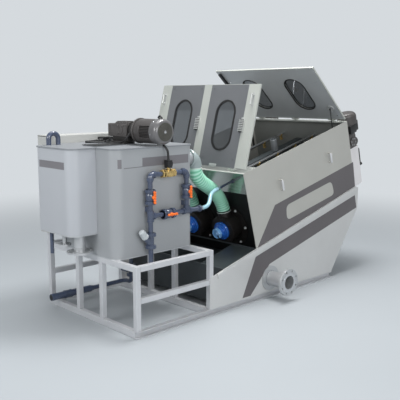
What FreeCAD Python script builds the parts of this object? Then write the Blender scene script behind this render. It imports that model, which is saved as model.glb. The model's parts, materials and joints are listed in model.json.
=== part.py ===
import FreeCAD, Part
import Sketcher
import math
import os
import re

V = FreeCAD.Vector
os.makedirs("parts", exist_ok=True)
doc = FreeCAD.newDocument("screw_press")

# Driving sizes in millimetres and degrees
SIZES = [
    ("incline", 15, "slope of the drums and the housing"),
    ("width", 1295, "over the side plates"),
    ("skid_length", 2578, "steel skid"),
    ("rail_height", 55, "skid channel"),
    ("rail_flange", 40, "skid channel"),
    ("rail_web", 6, "skid channel"),
    ("stand_length", 835, "tank stand"),
    ("stand_height", 574, "tank stand, top of the rails"),
    ("tube", 45, "square tube of the stand"),
    ("mid_rail_top", 318, "top of the middle rails"),
    ("inner_post", 170, "inner posts from the middle"),
    ("base_run", 1381, "housing corner from the skid's front"),
    ("base_rise", 496, "housing corner above the floor"),
    ("housing_length", 1622, "along the slope"),
    ("housing_height", 722, "square to the slope"),
    ("wall", 5, "housing and body plate"),
    ("skirt_start", 790, "front edge of the body plates"),
    ("front_wall_run", 954, "body front wall"),
    ("knee_run", 3012, "rear wall knee"),
    ("knee_rise", 678, "rear wall knee"),
    ("rear_top_rise", 897, "rear wall top"),
    ("rim_height", 45, "flange on the body's top edge"),
    ("rim_depth", 14, "flange thickness"),
    ("strut_plane", 560, "gas struts from the middle"),
    ("strut_radius", 11, "tube of a gas strut"),
    ("strut_barrel", 265, "tube of a gas strut"),
    ("strut_stem", 240, "rod of a gas strut"),
    ("stem_radius", 4.5, "rod of a gas strut"),
    ("eye_radius", 10, "rod's eye"),
    ("eye_thick", 10, "eyes of a gas strut"),
    ("eye_along", 190, "rod's eye from the rear hinge"),
    ("eye_under", 24, "rod's eye under the lid's middle"),
    ("drum_pitch", 420, "between the two drums"),
    ("drum_rise", 100, "drum axis above the housing's foot"),
    ("disc_radius", 150, "fixed rings"),
    ("moving_radius", 138, "moving rings"),
    ("ring_bore", 104, "ring bore radius"),
    ("ring_pitch", 52, "ring spacing"),
    ("ring_count", 24, "rings on a drum"),
    ("ring_thick", 30, "ring pack thickness"),
    ("tie_radius", 9, "tie rods of the drums"),
    ("seat", 0.3, "gap between pieces that rest on each other"),
    ("shaft_radius", 45, "screw shaft"),
    ("head_front", 35, "drum head's face from the housing's front"),
    ("head_radius", 135, "drum head"),
    ("head_flange", 203, "drum head's flange on the bulkhead"),
    ("cap_radius", 87, "blue bearing cap"),
    ("nose_radius", 54, "nose of the bearing cap"),
    ("hose_radius", 64, "green sludge hose"),
    ("port_set", 97, "inlet port from the housing's front"),
    ("port_top", 272, "inlet port's mouth above the housing's foot"),
    ("spigot_side", 300, "near hose spigot from the middle"),
    ("spigot_rise", 1330, "hose spigots above the floor"),
    ("bulkhead_set", 168, "front wall behind the housing's front edges"),
    ("apron_foot", 444, "lower edge of the bright apron above the housing's foot"),
    ("spray_rise", 560, "spray pipes above the housing's foot"),
    ("feed_side", 330, "wash water inlet from the middle"),
    ("feed_rise", 564, "wash water inlet above the housing's foot"),
    ("pan_width", 300, "shelf of the pan"),
    ("pan_drop", 12, "pan under the housing's foot"),
    ("trough_depth", 200, "trough under the shelves"),
    ("handle_length", 112, "bar handle on the housing wall"),
    ("handle_rise", 398, "bar handle above the housing's foot"),
    ("strut_foot_run", 1480, "gas strut's stud from the housing's front"),
    ("strut_foot_rise", 420, "gas strut's stud above the housing's foot"),
    ("hood_reach", 213, "hood behind the housing"),
    ("hood_width", 1200, "hood behind the housing"),
    ("hood_height", 423, "hood behind the housing"),
    ("hood_foot", -33, "hood's lower edge from the housing's foot"),
    ("lid_length", 776, "front and rear lid"),
    ("lid_depth", 16, "lid over its folded edges"),
    ("hinge_rise", 16, "lid hinge axis above the housing"),
    ("front_hinge_set", 33, "front hinge axis from the front edge"),
    ("rear_hinge_set", 18, "rear hinge axis from the rear edge"),
    ("front_lid_open", 60.4, "opening angle in the photo"),
    ("rear_lid_open", 56.2, "opening angle in the photo"),
    ("window_half", 112, "straight half length of a window"),
    ("window_radius", 118, "window end radius"),
    ("window_across", 285, "window from the middle"),
    ("window_along", 395, "window from the hinge"),
    ("tank_length", 820, "flocculation tank"),
    ("tank_near", 390, "tank's near face from the middle"),
    ("tank_far", 445, "tank's far face from the middle"),
    ("tank_top", 1449, "tank top above the floor"),
    ("tank_wall", 8, "tank wall"),
    ("tank_corner", 90, "tank corner radius"),
    ("cover_thick", 12, "tank cover"),
    ("cover_lip", 6, "tank cover past the walls"),
    ("feed_reach", 240, "feed tank in front of the stand"),
    ("feed_near", 145, "feed tank's near face"),
    ("feed_far", 400, "feed tank's far face"),
    ("feed_bottom", 757, "feed tank's underside"),
    ("back_corner", 40, "rounded rear edges of the flocculation tank"),
    ("cabinet_depth", 187, "control cabinet"),
    ("motor_side", 540, "drive motors from the middle"),
    ("mixer_run", 470, "mixer from the stand's front"),
    ("dose_left", 310, "left upright pipe from the stand's front"),
    ("dose_right", 705, "right upright pipe from the stand's front"),
    ("dose_low", 905, "level pipe above the floor"),
    ("dose_high", 1241, "solenoid pipe above the floor"),
    ("left_valve", 1063, "left ball valve above the floor"),
    ("right_valve", 1072, "right ball valve above the floor"),
    ("low_valve", 500, "low ball valve from the stand's front"),
    ("valve_half", 62, "half the length of a ball valve"),
    ("dose_end", 869, "level pipe's end from the stand's front"),
    ("drain_side", 475, "drain pipe from the middle"),
    ("drain_rise", 100, "drain pipe above the floor"),
    ("pipe_radius", 20, "PVC pipe"),
    ("pipe_plane", 445, "PVC pipes from the middle"),
    ("flange_radius", 125, "outlet flange"),
    ("flange_face", 875, "outlet flange face from the middle"),
    ("outlet_run", 1579, "outlet from the skid's front"),
    ("outlet_rise", 186, "outlet axis above the floor"),
    ("bolt_circle", 210, "outlet flange"),
    ("bolt_hole", 18, "outlet flange"),
    ("outlet_bore", 62.5, "outlet bore radius"),
]
sheet = doc.addObject("Spreadsheet::Sheet", "sizes")
for row, (alias, value, note) in enumerate(SIZES, 1):
    sheet.set(f"A{row}", note)
    sheet.set(f"B{row}", str(value))
    sheet.setAlias(f"B{row}", alias)
doc.recompute()
size = {alias: float(sheet.get(alias)) for alias, value, note in SIZES}

# Lengths that follow from the driving sizes
DERIVED = {
    "front": "(-skid_length / 2)",
    "half": "(width / 2)",
    "stand_half": "(width / 2 - wall)",
    "origin_x": "(-skid_length / 2 + base_run)",
    "slope": "tan(incline)",
}
nodes = []


def full(text):
    """Put the sheet's name before every alias in an expression."""
    for name, formula in DERIVED.items():
        text = re.sub(rf"\b{name}\b", formula, text)
    return re.sub(r"\b([a-z][a-z_]+)\b", lambda m: "sizes." + m[1] if m[1] in size else m[1], text)


def bind(item, prop, text):
    item.setExpression(prop, full(str(text)))


def number(text):
    return float(sheet.evalExpression(full(str(text)).replace("sizes.", "")))


def place(item, x="0", y="0", z="0", turn=None):
    """Set where a piece stands; turn is an axis and an angle."""
    if turn:
        item.Placement.Rotation = FreeCAD.Rotation(V(*turn[0]), number(turn[1]))
        bind(item, "Placement.Rotation.Angle", turn[1])
    for axis, text in zip("xyz", (x, y, z)):
        bind(item, f"Placement.Base.{axis}", text)
    return item


def whole(item):
    """A plain block keeps its own place inside a compound that is then turned."""
    if item.TypeId in ("Part::Box", "Part::Cylinder"):
        item.Label = item.Name + "_blank"
        return group(item.Name + "_whole", [item])
    return item


def tilt(item):
    """Carry a piece from the sloping housing's own axes to the machine's."""
    return place(whole(item), "origin_x", "0", "base_rise", ((0, -1, 0), "incline"))


def node(item, label):
    item.Label = label
    nodes.append(item)
    return item


def box(name, length, width, height, x, y, z):
    item = doc.addObject("Part::Box", name)
    for prop, text in zip(("Length", "Width", "Height"), (length, width, height)):
        bind(item, prop, text)
    return place(item, x, y, z)


def rod(name, radius, length, x, y, z, along="z"):
    item = doc.addObject("Part::Cylinder", name)
    bind(item, "Radius", radius)
    bind(item, "Height", length)
    turns = {"x": ((0, 1, 0), "90"), "y": ((-1, 0, 0), "90"), "z": None}
    return place(item, x, y, z, turns[along])


def fuse(name, items):
    item = doc.addObject("Part::MultiFuse", name)
    item.Shapes = items
    return item


def group(name, items):
    item = doc.addObject("Part::Compound", name)
    item.Links = items
    return item


def cut(name, base, tool):
    item = doc.addObject("Part::Cut", name)
    item.Base = base
    item.Tool = tool
    return item


def sketch_on(body, role, start="0"):
    sketch = body.newObject("Sketcher::SketchObject", body.Name + "_sketch")
    plane = [item for item in body.Origin.OriginFeatures if item.Role == role][0]
    sketch.AttachmentSupport = (plane, [""])
    sketch.MapMode = "FlatFace"
    sign = "-" if role == "XZ_Plane" else ""
    bind(sketch, "AttachmentOffset.Base.z", f"{sign}({start})")
    return sketch


def hold(sketch, kind, geometry, point, text):
    """One named place of a sketch point, bound to the sheet."""
    index = sketch.addConstraint(Sketcher.Constraint(kind, -1, 1, geometry, point, number(text)))
    bind(sketch, f"Constraints[{index}]", text)


def outline(sketch, points):
    """A closed outline of straight edges."""
    spots = [V(number(x), number(y), 0) for x, y in points]
    first = sketch.GeometryCount
    last = len(points)
    for i in range(last):
        sketch.addGeometry(Part.LineSegment(spots[i], spots[(i + 1) % last]), False)
    for i, (x, y) in enumerate(points):
        sketch.addConstraint(Sketcher.Constraint("Coincident", first + i, 2, first + (i + 1) % last, 1))
        hold(sketch, "DistanceX", first + i, 1, x)
        hold(sketch, "DistanceY", first + i, 1, y)


def circle(sketch, x, y, radius):
    spot = V(number(x), number(y), 0)
    index = sketch.addGeometry(Part.Circle(spot, V(0, 0, 1), number(radius)), False)
    hold(sketch, "DistanceX", index, 3, x)
    hold(sketch, "DistanceY", index, 3, y)
    row = sketch.addConstraint(Sketcher.Constraint("Radius", index, number(radius)))
    bind(sketch, f"Constraints[{row}]", radius)


def pad(body, sketch, length):
    item = body.newObject("PartDesign::Pad", body.Name + "_pad")
    item.Profile = sketch
    item.Reversed = sketch.AttachmentSupport[0][0].Role == "XZ_Plane"
    bind(item, "Length", length)
    return item


def slab(label, role, points, thickness, start="0", circles=()):
    """A flat plate of any outline, padded from its own plane."""
    body = doc.addObject("PartDesign::Body", label)
    sketch = sketch_on(body, role, start)
    outline(sketch, points)
    for spot in circles:
        circle(sketch, *spot)
    pad(body, sketch, thickness)
    return body


def stadium(name, across, along, depth, x, y, z, radius):
    """A block with two round ends; across and along are half sizes of its straight part."""
    block = box(name + "_block", f"2 * ({along})", f"2 * ({radius})", depth,
                f"{x} - ({along})", f"{y} - ({radius})", z)
    low = rod(name + "_low", radius, depth, f"{x} - ({along})", y, z)
    high = rod(name + "_high", radius, depth, f"{x} + ({along})", y, z)
    return fuse(name, [block, low, high])


def route(points, radius, bends):
    """A round pipe along straight runs with tangent arcs."""
    points = [V(*point) for point in points]
    edges = []
    start = points[0]
    for before, corner, after, bend in zip(points, points[1:], points[2:], bends):
        come = (corner - before).normalize()
        leave = (after - corner).normalize()
        turn = come.getAngle(leave)
        reach = bend * math.tan(turn / 2)
        first = corner - come * reach
        last = corner + leave * reach
        inward = (leave - come).normalize()
        middle = corner + inward * (bend / math.cos(turn / 2) - bend)
        edges.append(Part.LineSegment(start, first).toShape())
        edges.append(Part.Arc(first, middle, last).toShape())
        start = last
    edges.append(Part.LineSegment(start, points[-1]).toShape())
    spine = Part.Wire(edges)
    heading = (points[1] - points[0]).normalize()
    ring = Part.Wire(Part.Circle(points[0], heading, radius).toShape())
    return spine.makePipeShell([ring], True, False)


def feature(label, shape):
    item = doc.addObject("Part::Feature", label)
    item.Shape = shape
    return item


# Skid of steel channels, open to the outside
def channel(label, side):
    flange_y = "-half" if side < 0 else "half - rail_flange"
    web_y = "-half + rail_flange - rail_web" if side < 0 else "half - rail_flange"
    web = box(label + "_web", "skid_length", "rail_web", "rail_height", "front", web_y, "0")
    low = box(label + "_low", "skid_length", "rail_flange", "rail_web", "front", flange_y, "0")
    high = box(label + "_high", "skid_length", "rail_flange", "rail_web", "front", flange_y,
               "rail_height - rail_web")
    return fuse(label, [web, low, high])


node(group("skid_rails", [channel("skid_rail_near", -1), channel("skid_rail_far", 1)]), "skid_rails")
cross_places = ["front", "front + skirt_start", "-tube / 2", "front + skid_length - tube"]
cross_bars = [
    box(f"cross_bar_{i}", "tube", "width - 2 * rail_flange", "rail_height", x, "-half + rail_flange", "0")
    for i, x in enumerate(cross_places)
]
node(group("skid_cross_bars", cross_bars), "skid_cross_bars")

# Tank stand of square tube
post_xs = ["front", "front + stand_length - tube"]
corner_posts = []
for i, x in enumerate(post_xs):
    for j, y in enumerate(("-stand_half", "stand_half - tube")):
        tall = "feed_bottom - 82 - rail_height" if (i, j) == (0, 1) else "stand_height - rail_height"
        corner_posts.append(box(f"corner_post_{i}{j}", "tube", "tube", tall, x, y, "rail_height"))
inner_posts = [
    box(f"inner_post_{i}{j}", "tube", "tube", "stand_height - tube - rail_height", x,
        f"{side} * inner_post - tube / 2", "rail_height")
    for i, x in enumerate(post_xs) for j, side in enumerate((-1, 1))
]
cabinet_post = box("cabinet_post", "tube", "tube", "feed_bottom - 82 - stand_height", "front + 600",
                   "stand_half - tube", "stand_height")
node(group("stand_posts", corner_posts + inner_posts + [cabinet_post]), "stand_posts")


side_rails = [
    box(f"side_rail_{i}{j}", "stand_length - 2 * tube", "tube", "tube", "front + tube", y, z)
    for i, z in enumerate(("stand_height - tube", "mid_rail_top - tube"))
    for j, y in enumerate(("-stand_half", "stand_half - tube"))
]
bearers = [
    box(f"bearer_{i}", "stand_length - 2 * tube", "tube", "tube", "front + tube",
        f"{side} * inner_post - tube / 2", "stand_height - tube")
    for i, side in enumerate((-1, 1))
]
node(group("stand_side_rails", side_rails + bearers), "stand_side_rails")
cross_rails = [
    box(f"cross_rail_{i}", "tube", "2 * stand_half - 2 * tube", "tube", x, "-stand_half + tube",
        "stand_height - tube")
    for i, x in enumerate(post_xs)
]
node(group("stand_cross_rails", cross_rails), "stand_cross_rails")


# Lower body: filtrate tank between two side plates
def incline_z(x_text, drop="0"):
    return f"base_rise + ({x_text} - origin_x) * slope - ({drop})"


side_outline = [
    ("front + skirt_start", "rail_height"),
    ("front + skirt_start", incline_z("front + skirt_start")),
    ("front + knee_run - 50", incline_z("front + knee_run - 50")),
    ("front + knee_run + 6", "rear_top_rise"),
    ("front + knee_run", "knee_rise"),
    ("front + skid_length - 13", "rail_height"),
]
near_sheet = slab("near_sheet", "XZ_Plane", side_outline, "wall", "-half",
                  [("front + outlet_run", "outlet_rise", "outlet_bore + 6")])
far_sheet = slab("far_sheet", "XZ_Plane", side_outline, "wall", "half - wall")
for label, sheet_item, y in (("near", near_sheet, "-half - rim_depth"), ("far", far_sheet, "half")):
    rim = box(f"rim_{label}", "(knee_run - 50 - skirt_start - 90) / cos(incline)", "rim_depth",
              "rim_height", "(skirt_start + 90 - base_run) / cos(incline) - 12", y, "-rim_height")
    node(fuse(f"body_{label}_plate", [sheet_item, tilt(rim)]), f"body_{label}_plate")
inner_width = "width - 2 * wall"
node(box("body_front_wall", "wall", inner_width, incline_z("front + front_wall_run") + " - rail_height",
         "front + front_wall_run", "-half + wall", "rail_height"), "body_front_wall")
rear_outline = [
    ("front + skid_length - 13", "rail_height"),
    ("front + knee_run", "knee_rise"),
    ("front + knee_run + 6", "rear_top_rise"),
    ("front + knee_run + 6 - wall", "rear_top_rise"),
    ("front + knee_run - wall", "knee_rise + 2"),
    ("front + skid_length - 20", "rail_height"),
]
node(slab("body_rear_wall", "XZ_Plane", rear_outline, inner_width, "-half + wall"), "body_rear_wall")
node(box("body_floor", "skid_length - 20 - front_wall_run - wall", inner_width, "wall",
         "front + front_wall_run + wall", "-half + wall", "rail_height"), "body_floor")
# Pan in front of the housing: two shelves beside a trough
pan_start = "(front_wall_run + wall - base_run) / cos(incline) + 4"
pans = []
for i, y in enumerate(("-half + wall", "half - wall - pan_width")):
    pans.append(box(f"pan_{i}", f"-({pan_start})", "pan_width", "wall", pan_start, y, "-wall - pan_drop"))
    pans.append(box(f"pan_riser_{i}", "wall", "pan_width", "trough_depth", "-wall", y,
                    "-pan_drop - trough_depth"))
for i, y in enumerate(("-half + pan_width", "half - wall - pan_width")):
    pans.append(box(f"pan_side_{i}", f"-({pan_start}) - 40", "wall", "trough_depth - wall",
                    f"{pan_start} + 40", y, "-pan_drop - trough_depth"))
pan_floor = box("pan_floor", f"-({pan_start}) - 40", "width - 2 * wall - 2 * pan_width", "wall",
                f"{pan_start} + 40", "-half + wall + pan_width", "-pan_drop - trough_depth")
well_floor = box("well_floor", "bulkhead_set + wall", inner_width, "wall", "0", "-half + wall",
                 "-pan_drop - trough_depth")
node(tilt(fuse("front_pan", pans + [pan_floor, well_floor])), "front_pan")

# Sloping housing
housing_side = [("0", "0"), ("housing_length", "0"), ("housing_length", "housing_height"),
                ("0", "housing_height")]
drum_ys = ("-drum_pitch / 2", "drum_pitch / 2")
cake_gap = "(ring_bore - 6)"
rear_sheet = slab("rear_sheet", "YZ_Plane", [
    ("-half + wall", "0"), ("half - wall", "0"), ("half - wall", "housing_height"),
    ("-half + wall", "housing_height")],
    "wall", "housing_length - wall", [(y, "drum_rise", cake_gap) for y in drum_ys])
spiders = [box(f"spider_{i}", "wall", f"2 * {cake_gap} + 20", "20", "housing_length - wall",
               f"{y} - {cake_gap} - 10", "drum_rise - 10") for i, y in enumerate(drum_ys)]
hubs = [rod(f"spider_hub_{i}", "shaft_radius + 14", "wall", "housing_length - wall", y, "drum_rise", "x")
        for i, y in enumerate(drum_ys)]
hub_bores = [rod(f"spider_bore_{i}", "shaft_radius + seat", "wall", "housing_length - wall", y,
                 "drum_rise", "x")
             for i, y in enumerate(drum_ys)]
node(tilt(cut("housing_rear_wall", fuse("rear_wall_web", [rear_sheet] + spiders + hubs),
              fuse("rear_wall_bores", hub_bores))), "housing_rear_wall")
node(tilt(box("front_apron", "wall", inner_width, "housing_height - wall - apron_foot", "bulkhead_set",
              "-half + wall", "apron_foot")), "front_apron")
well_foot = "wall - pan_drop - trough_depth"
bulkhead = slab("bulkhead", "YZ_Plane", [
    ("-half + wall", well_foot), ("half - wall", well_foot), ("half - wall", "apron_foot"),
    ("-half + wall", "apron_foot")],
    "wall", "bulkhead_set", [(y, "drum_rise", "shaft_radius + 5") for y in drum_ys])
node(tilt(bulkhead), "bulkhead")


def bar_handle(name, x, y, z, length, reach, side):
    """A welded round bar handle standing off a wall."""
    foot_y = y if side > 0 else f"{y} - ({reach})"
    bar_y = f"{y} + {side} * ({reach})"
    bar = rod(name + "_bar", "6.5", length, x, bar_y, z)
    feet = [rod(f"{name}_foot_{i}", "6", reach, x, foot_y, f"{z} + {up}", "y")
            for i, up in enumerate(("8", f"{length} - 8"))]
    return fuse(name, [bar] + feet)


for label, y, sheet_y, side in (("near", "-half", "-half", -1), ("far", "half", "half - wall", 1)):
    sheet_item = slab(f"{label}_wall_sheet", "XZ_Plane", housing_side, "wall", sheet_y)
    bars = [bar_handle(f"{label}_handle_{i}", x, y, "handle_rise", "handle_length", "40", side)
            for i, x in enumerate(("455", "1235"))]
    stud_y = "-half + wall" if side < 0 else "strut_plane + eye_thick / 2 + seat"
    stud = rod(f"{label}_stud", "6", "half - wall - strut_plane - eye_thick / 2 - seat", "strut_foot_run",
               stud_y, "strut_foot_rise", "y")
    node(tilt(fuse(f"housing_{label}_wall", [sheet_item, stud] + bars)), f"housing_{label}_wall")

# Hood over the drums' discharge end, and its bent handle
hood_outer = box("hood_outer", "hood_reach", "hood_width", "hood_height", "housing_length",
                 "-hood_width / 2", "hood_foot")
hood_inner = box("hood_inner", "hood_reach - wall", "hood_width - 2 * wall", "hood_height - wall",
                 "housing_length", "-hood_width / 2 + wall", "hood_foot")
hood_block = cut("hood_block", hood_outer, hood_inner)
handle_stem = rod("hood_handle_stem", "8", "190", "housing_length + hood_reach + 35", "-570", "160")
handle_top = rod("hood_handle_top", "8", "43", "housing_length + hood_reach", "-570", "342", "x")
handle_knob = rod("hood_handle_knob", "14", "40", "housing_length + hood_reach + 27", "-570", "160", "x")
node(tilt(fuse("rear_hood", [hood_block, handle_stem, handle_top, handle_knob])), "rear_hood")

# Vertical drive motors with their gearboxes on the hood
gearboxes = []
motors = []
for label, y in (("near", "-motor_side"), ("far", "motor_side")):
    gear = box(f"{label}_gear_box", "130", "120", "130", "housing_length + 60", f"{y} - 60",
               "hood_foot + hood_height")
    gear_flange = rod(f"{label}_gear_flange", "75", "14", "housing_length + 125", y, "520")
    gearboxes.append(fuse(f"drive_gearbox_{label}", [gear, gear_flange]))
    shell = rod(f"{label}_motor_shell", "68", "160", "housing_length + 125", y, "534")
    fan = rod(f"{label}_motor_fan", "72", "60", "housing_length + 125", y, "694")
    terminal = box(f"{label}_motor_terminal", "60", "90", "100", "housing_length + 170", f"{y} - 45", "560")
    motors.append(fuse(f"drive_motor_{label}", [shell, fan, terminal]))
node(tilt(group("drive_gearboxes", gearboxes)), "drive_gearboxes")
node(tilt(group("drive_motors", motors)), "drive_motors")

# Disc drums: packs of fixed and moving rings on tie rods round the screw shaft
drum_start = "bulkhead_set + wall + 60"


def ring_pack(label, y):
    body = doc.addObject("PartDesign::Body", label)
    sketch = sketch_on(body, "XZ_Plane", y)
    points = [(drum_start, "drum_rise + ring_bore")]
    for i in range(int(size["ring_count"])):
        at = f"{drum_start} + {i} * ring_pitch"
        points += [(at, "drum_rise + disc_radius"), (f"{at} + ring_thick", "drum_rise + disc_radius"),
                   (f"{at} + ring_thick", "drum_rise + moving_radius"),
                   (f"{at} + ring_pitch", "drum_rise + moving_radius")]
    points.append((f"{drum_start} + ring_count * ring_pitch", "drum_rise + ring_bore"))
    outline(sketch, points)
    line = sketch.addGeometry(Part.LineSegment(V(0, number("drum_rise"), 0), V(100, number("drum_rise"),
                                                                               0)), True)
    hold(sketch, "DistanceX", line, 1, "0")
    hold(sketch, "DistanceY", line, 1, "drum_rise")
    sketch.addConstraint(Sketcher.Constraint("Horizontal", line))
    hold(sketch, "DistanceX", line, 2, "100")
    turn = body.newObject("PartDesign::Revolution", label + "_turn")
    turn.Profile = sketch
    turn.ReferenceAxis = (sketch, ["Axis0"])
    turn.Angle = 360
    return body


tie_set = "(disc_radius + tie_radius + seat) / sqrt(2)"
ring_packs, tie_sets, shafts, heads, caps = [], [], [], [], []
for label, y in zip(("near", "far"), drum_ys):
    ring_packs.append(ring_pack(f"{label}_ring_pack", y))
    drum_end = f"{drum_start} + ring_count * ring_pitch"
    rods = []
    for i, (dy, dz) in enumerate(((1, 1), (1, -1), (-1, 1), (-1, -1))):
        rods.append(rod(f"{label}_tie_{i}", "tie_radius", f"{drum_end} - bulkhead_set - wall + 14",
                        "bulkhead_set + wall",
                        f"{y} + {dy} * {tie_set}", f"drum_rise + {dz} * {tie_set}", "x"))
    plate = rod(f"{label}_end_plate", "disc_radius + 24", "14", drum_end, y, "drum_rise", "x")
    bore = rod(f"{label}_end_bore", "ring_bore", "14", drum_end, y, "drum_rise", "x")
    end_ring = cut(f"{label}_end_ring", plate, bore)
    tie_sets.append(fuse(f"{label}_tie_rods", rods + [end_ring]))
    core = rod(f"{label}_shaft_core", "shaft_radius", "housing_length + hood_reach - wall - head_front",
               "head_front", y, "drum_rise", "x")
    cone = doc.addObject("Part::Cone", f"{label}_pressure_cone")
    bind(cone, "Radius1", "shaft_radius - 1")
    bind(cone, "Radius2", "ring_bore - 14")
    bind(cone, "Height", "60")
    place(cone, f"{drum_end} + 14 - 30", y, "drum_rise", ((0, 1, 0), "90"))
    shafts.append(fuse(f"{label}_shaft", [core, cone]))
    outer = rod(f"{label}_head_outer", "head_radius", "bulkhead_set - head_front", "head_front", y,
                "drum_rise", "x")
    flange = rod(f"{label}_head_flange", "head_flange", "6", "bulkhead_set - 6", y, "drum_rise", "x")
    port = rod(f"{label}_head_port", "hose_radius - 4", "port_top - drum_rise - 60", "port_set", y,
               "drum_rise + 60")
    bore = rod(f"{label}_head_bore", "shaft_radius + 5", "bulkhead_set - head_front", "head_front", y,
               "drum_rise", "x")
    heads.append(cut(f"{label}_head", fuse(f"{label}_head_body", [outer, flange, port]), bore))
    disc = rod(f"{label}_cap_disc", "cap_radius", "25", "head_front - 25", y, "drum_rise", "x")
    nose = rod(f"{label}_cap_nose", "nose_radius", "70", "head_front - 95", y, "drum_rise", "x")
    caps.append(fuse(f"{label}_cap", [disc, nose]))
drum_nodes = (("drum_rings", ring_packs), ("drum_tie_rods", tie_sets), ("screw_shafts", shafts),
              ("drum_heads", heads), ("bearing_caps", caps))
for label, items in drum_nodes:
    node(tilt(group(label, items)), label)

# Spray pipes above the drums with brass nozzles, fed through a centre beam
nozzles = []
spray_pipes = []
for label, y in zip(("near", "far"), drum_ys):
    spray_pipes.append(rod(f"{label}_spray", "14", "housing_length - bulkhead_set - 2 * wall",
                           "bulkhead_set + wall", y, "spray_rise", "x"))
    for i in range(5):
        nozzles.append(rod(f"{label}_nozzle_{i}", "16", "45", f"385 + {i} * 295", y, "spray_rise - 59"))
node(tilt(group("spray_pipes", spray_pipes)), "spray_pipes")
node(tilt(group("spray_nozzles", nozzles)), "spray_nozzles")
beam = box("beam_bar", "housing_length - bulkhead_set - 2 * wall", "90", "60", "bulkhead_set + wall", "-45",
           "spray_rise - 110")
stand_pipe = rod("beam_standpipe", "32", "125", "1190", "0", "spray_rise - 55")
node(tilt(fuse("centre_beam", [beam, stand_pipe])), "centre_beam")

# Lids with windows; each is built flat in its own axes and then opened
front_hinge = ("origin_x + front_hinge_set * cos(incline) - (housing_height + hinge_rise) * sin(incline)",
               "base_rise + front_hinge_set * sin(incline) + (housing_height + hinge_rise) * cos(incline)")
rear_run = "(housing_length - rear_hinge_set)"
rear_hinge = (f"origin_x + {rear_run} * cos(incline) - (housing_height + hinge_rise) * sin(incline)",
              f"base_rise + {rear_run} * sin(incline) + (housing_height + hinge_rise) * cos(incline)")


def open_front(item):
    return place(item, front_hinge[0], "0", front_hinge[1], ((0, -1, 0), "incline + front_lid_open"))


def open_rear(item):
    return place(item, rear_hinge[0], "0", rear_hinge[1], ((0, 1, 0), "rear_lid_open - incline"))


def lid_sheet(label, way, opened):
    """Sheet with folded edges and two windows; way is 1 for the front lid and -1 for the rear."""
    near_x = "14" if way > 0 else "-lid_length"
    sheet_box = box(label + "_sheet", "lid_length - 14", "width", "3", near_x, "-half", "lid_depth / 2 - 3")
    rim = box(label + "_rim", "lid_length - 14", "width", "lid_depth - 3", near_x, "-half",
              "-lid_depth / 2")
    hollow = box(label + "_hollow", "lid_length - 14 - 8", "width - 8", "lid_depth - 3", f"{near_x} + 4",
                 "-half + 4", "-lid_depth / 2")
    holes = [stadium(f"{label}_hole_{i}", "0", "window_half", "lid_depth", f"{way} * window_along",
                     f"{side} * window_across", "-lid_depth / 2", "window_radius")
             for i, side in enumerate((-1, 1))]
    knuckles = []
    for i, y in enumerate(("-480", "0", "480")):
        for j, side in enumerate((-1, 1)):
            low = f"{y} + {side} * 33 - 12.5"
            knuckles.append(rod(f"{label}_knuckle_{i}{j}", "7", "25", "0", low, "0", "y"))
            knuckles.append(box(f"{label}_leaf_{i}{j}", "30", "25", "3", "0" if way > 0 else "-30", low,
                                "4"))
    shell = cut(label + "_shell", fuse(label + "_solid", [cut(label + "_tray", rim, hollow), sheet_box]),
                fuse(label + "_holes", holes))
    return node(opened(fuse(label, [shell] + knuckles)), label)


def lid_windows(label, way, opened):
    panes = [stadium(f"{label}_pane_{i}", "0", "window_half", "3", f"{way} * window_along",
                     f"{side} * window_across", "lid_depth / 2 - 3", "window_radius - 8.3")
             for i, side in enumerate((-1, 1))]
    node(opened(group(label + "_glass", panes)), label + "_glass")
    rings = []
    for i, side in enumerate((-1, 1)):
        outer = stadium(f"{label}_seal_outer_{i}", "0", "window_half", "4", f"{way} * window_along",
                        f"{side} * window_across", "lid_depth / 2", "window_radius + 7")
        inner = stadium(f"{label}_seal_inner_{i}", "0", "window_half", "4", f"{way} * window_along",
                        f"{side} * window_across", "lid_depth / 2", "window_radius - 12")
        rings.append(cut(f"{label}_seal_{i}", outer, inner))
    node(opened(group(label + "_seals", rings)), label + "_seals")


lid_sheet("front_lid", 1, open_front)
lid_windows("front_lid", 1, open_front)
lid_sheet("rear_lid", -1, open_rear)
lid_windows("rear_lid", -1, open_rear)
grips = []
for i, y in enumerate(("-590", "590")):
    bar = rod(f"front_grip_bar_{i}", "6", "100", "583", y, "lid_depth / 2 + 30", "x")
    feet = [rod(f"front_grip_foot_{i}{j}", "6", "30", at, y, "lid_depth / 2") for j,
            at in enumerate(("589", "677"))]
    grips.append(fuse(f"front_grip_{i}", [bar] + feet))
latches = [box(f"latch_{i}", "110", "36", "18", "340", y, "lid_depth / 2") for i,
           y in enumerate(("-514 - 18", "34"))]
node(open_front(group("front_lid_fittings", grips + latches)), "front_lid_fittings")


def hinge_ledge(label, ledge_x, reach, run):
    """A ledge between the side walls that carries three fixed hinge barrels."""
    pieces = [box(f"{label}_ledge", reach, inner_width, "wall", ledge_x, "-half + wall",
                  "housing_height - wall")]
    for i, y in enumerate(("-480", "0", "480")):
        pieces.append(rod(f"{label}_barrel_{i}", "7", "40", run, f"{y} - 20",
                          "housing_height + hinge_rise", "y"))
        pieces.append(box(f"{label}_web_{i}", "6", "40", "hinge_rise", f"{run} - 3", f"{y} - 20",
                          "housing_height"))
    return fuse(label, pieces)


node(tilt(group("hinge_ledges", [
    hinge_ledge("front_hinge", "0", "bulkhead_set + wall", "front_hinge_set"),
    hinge_ledge("rear_hinge", "housing_length - wall - 55", "55", rear_run),
])), "hinge_ledges")

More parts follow.
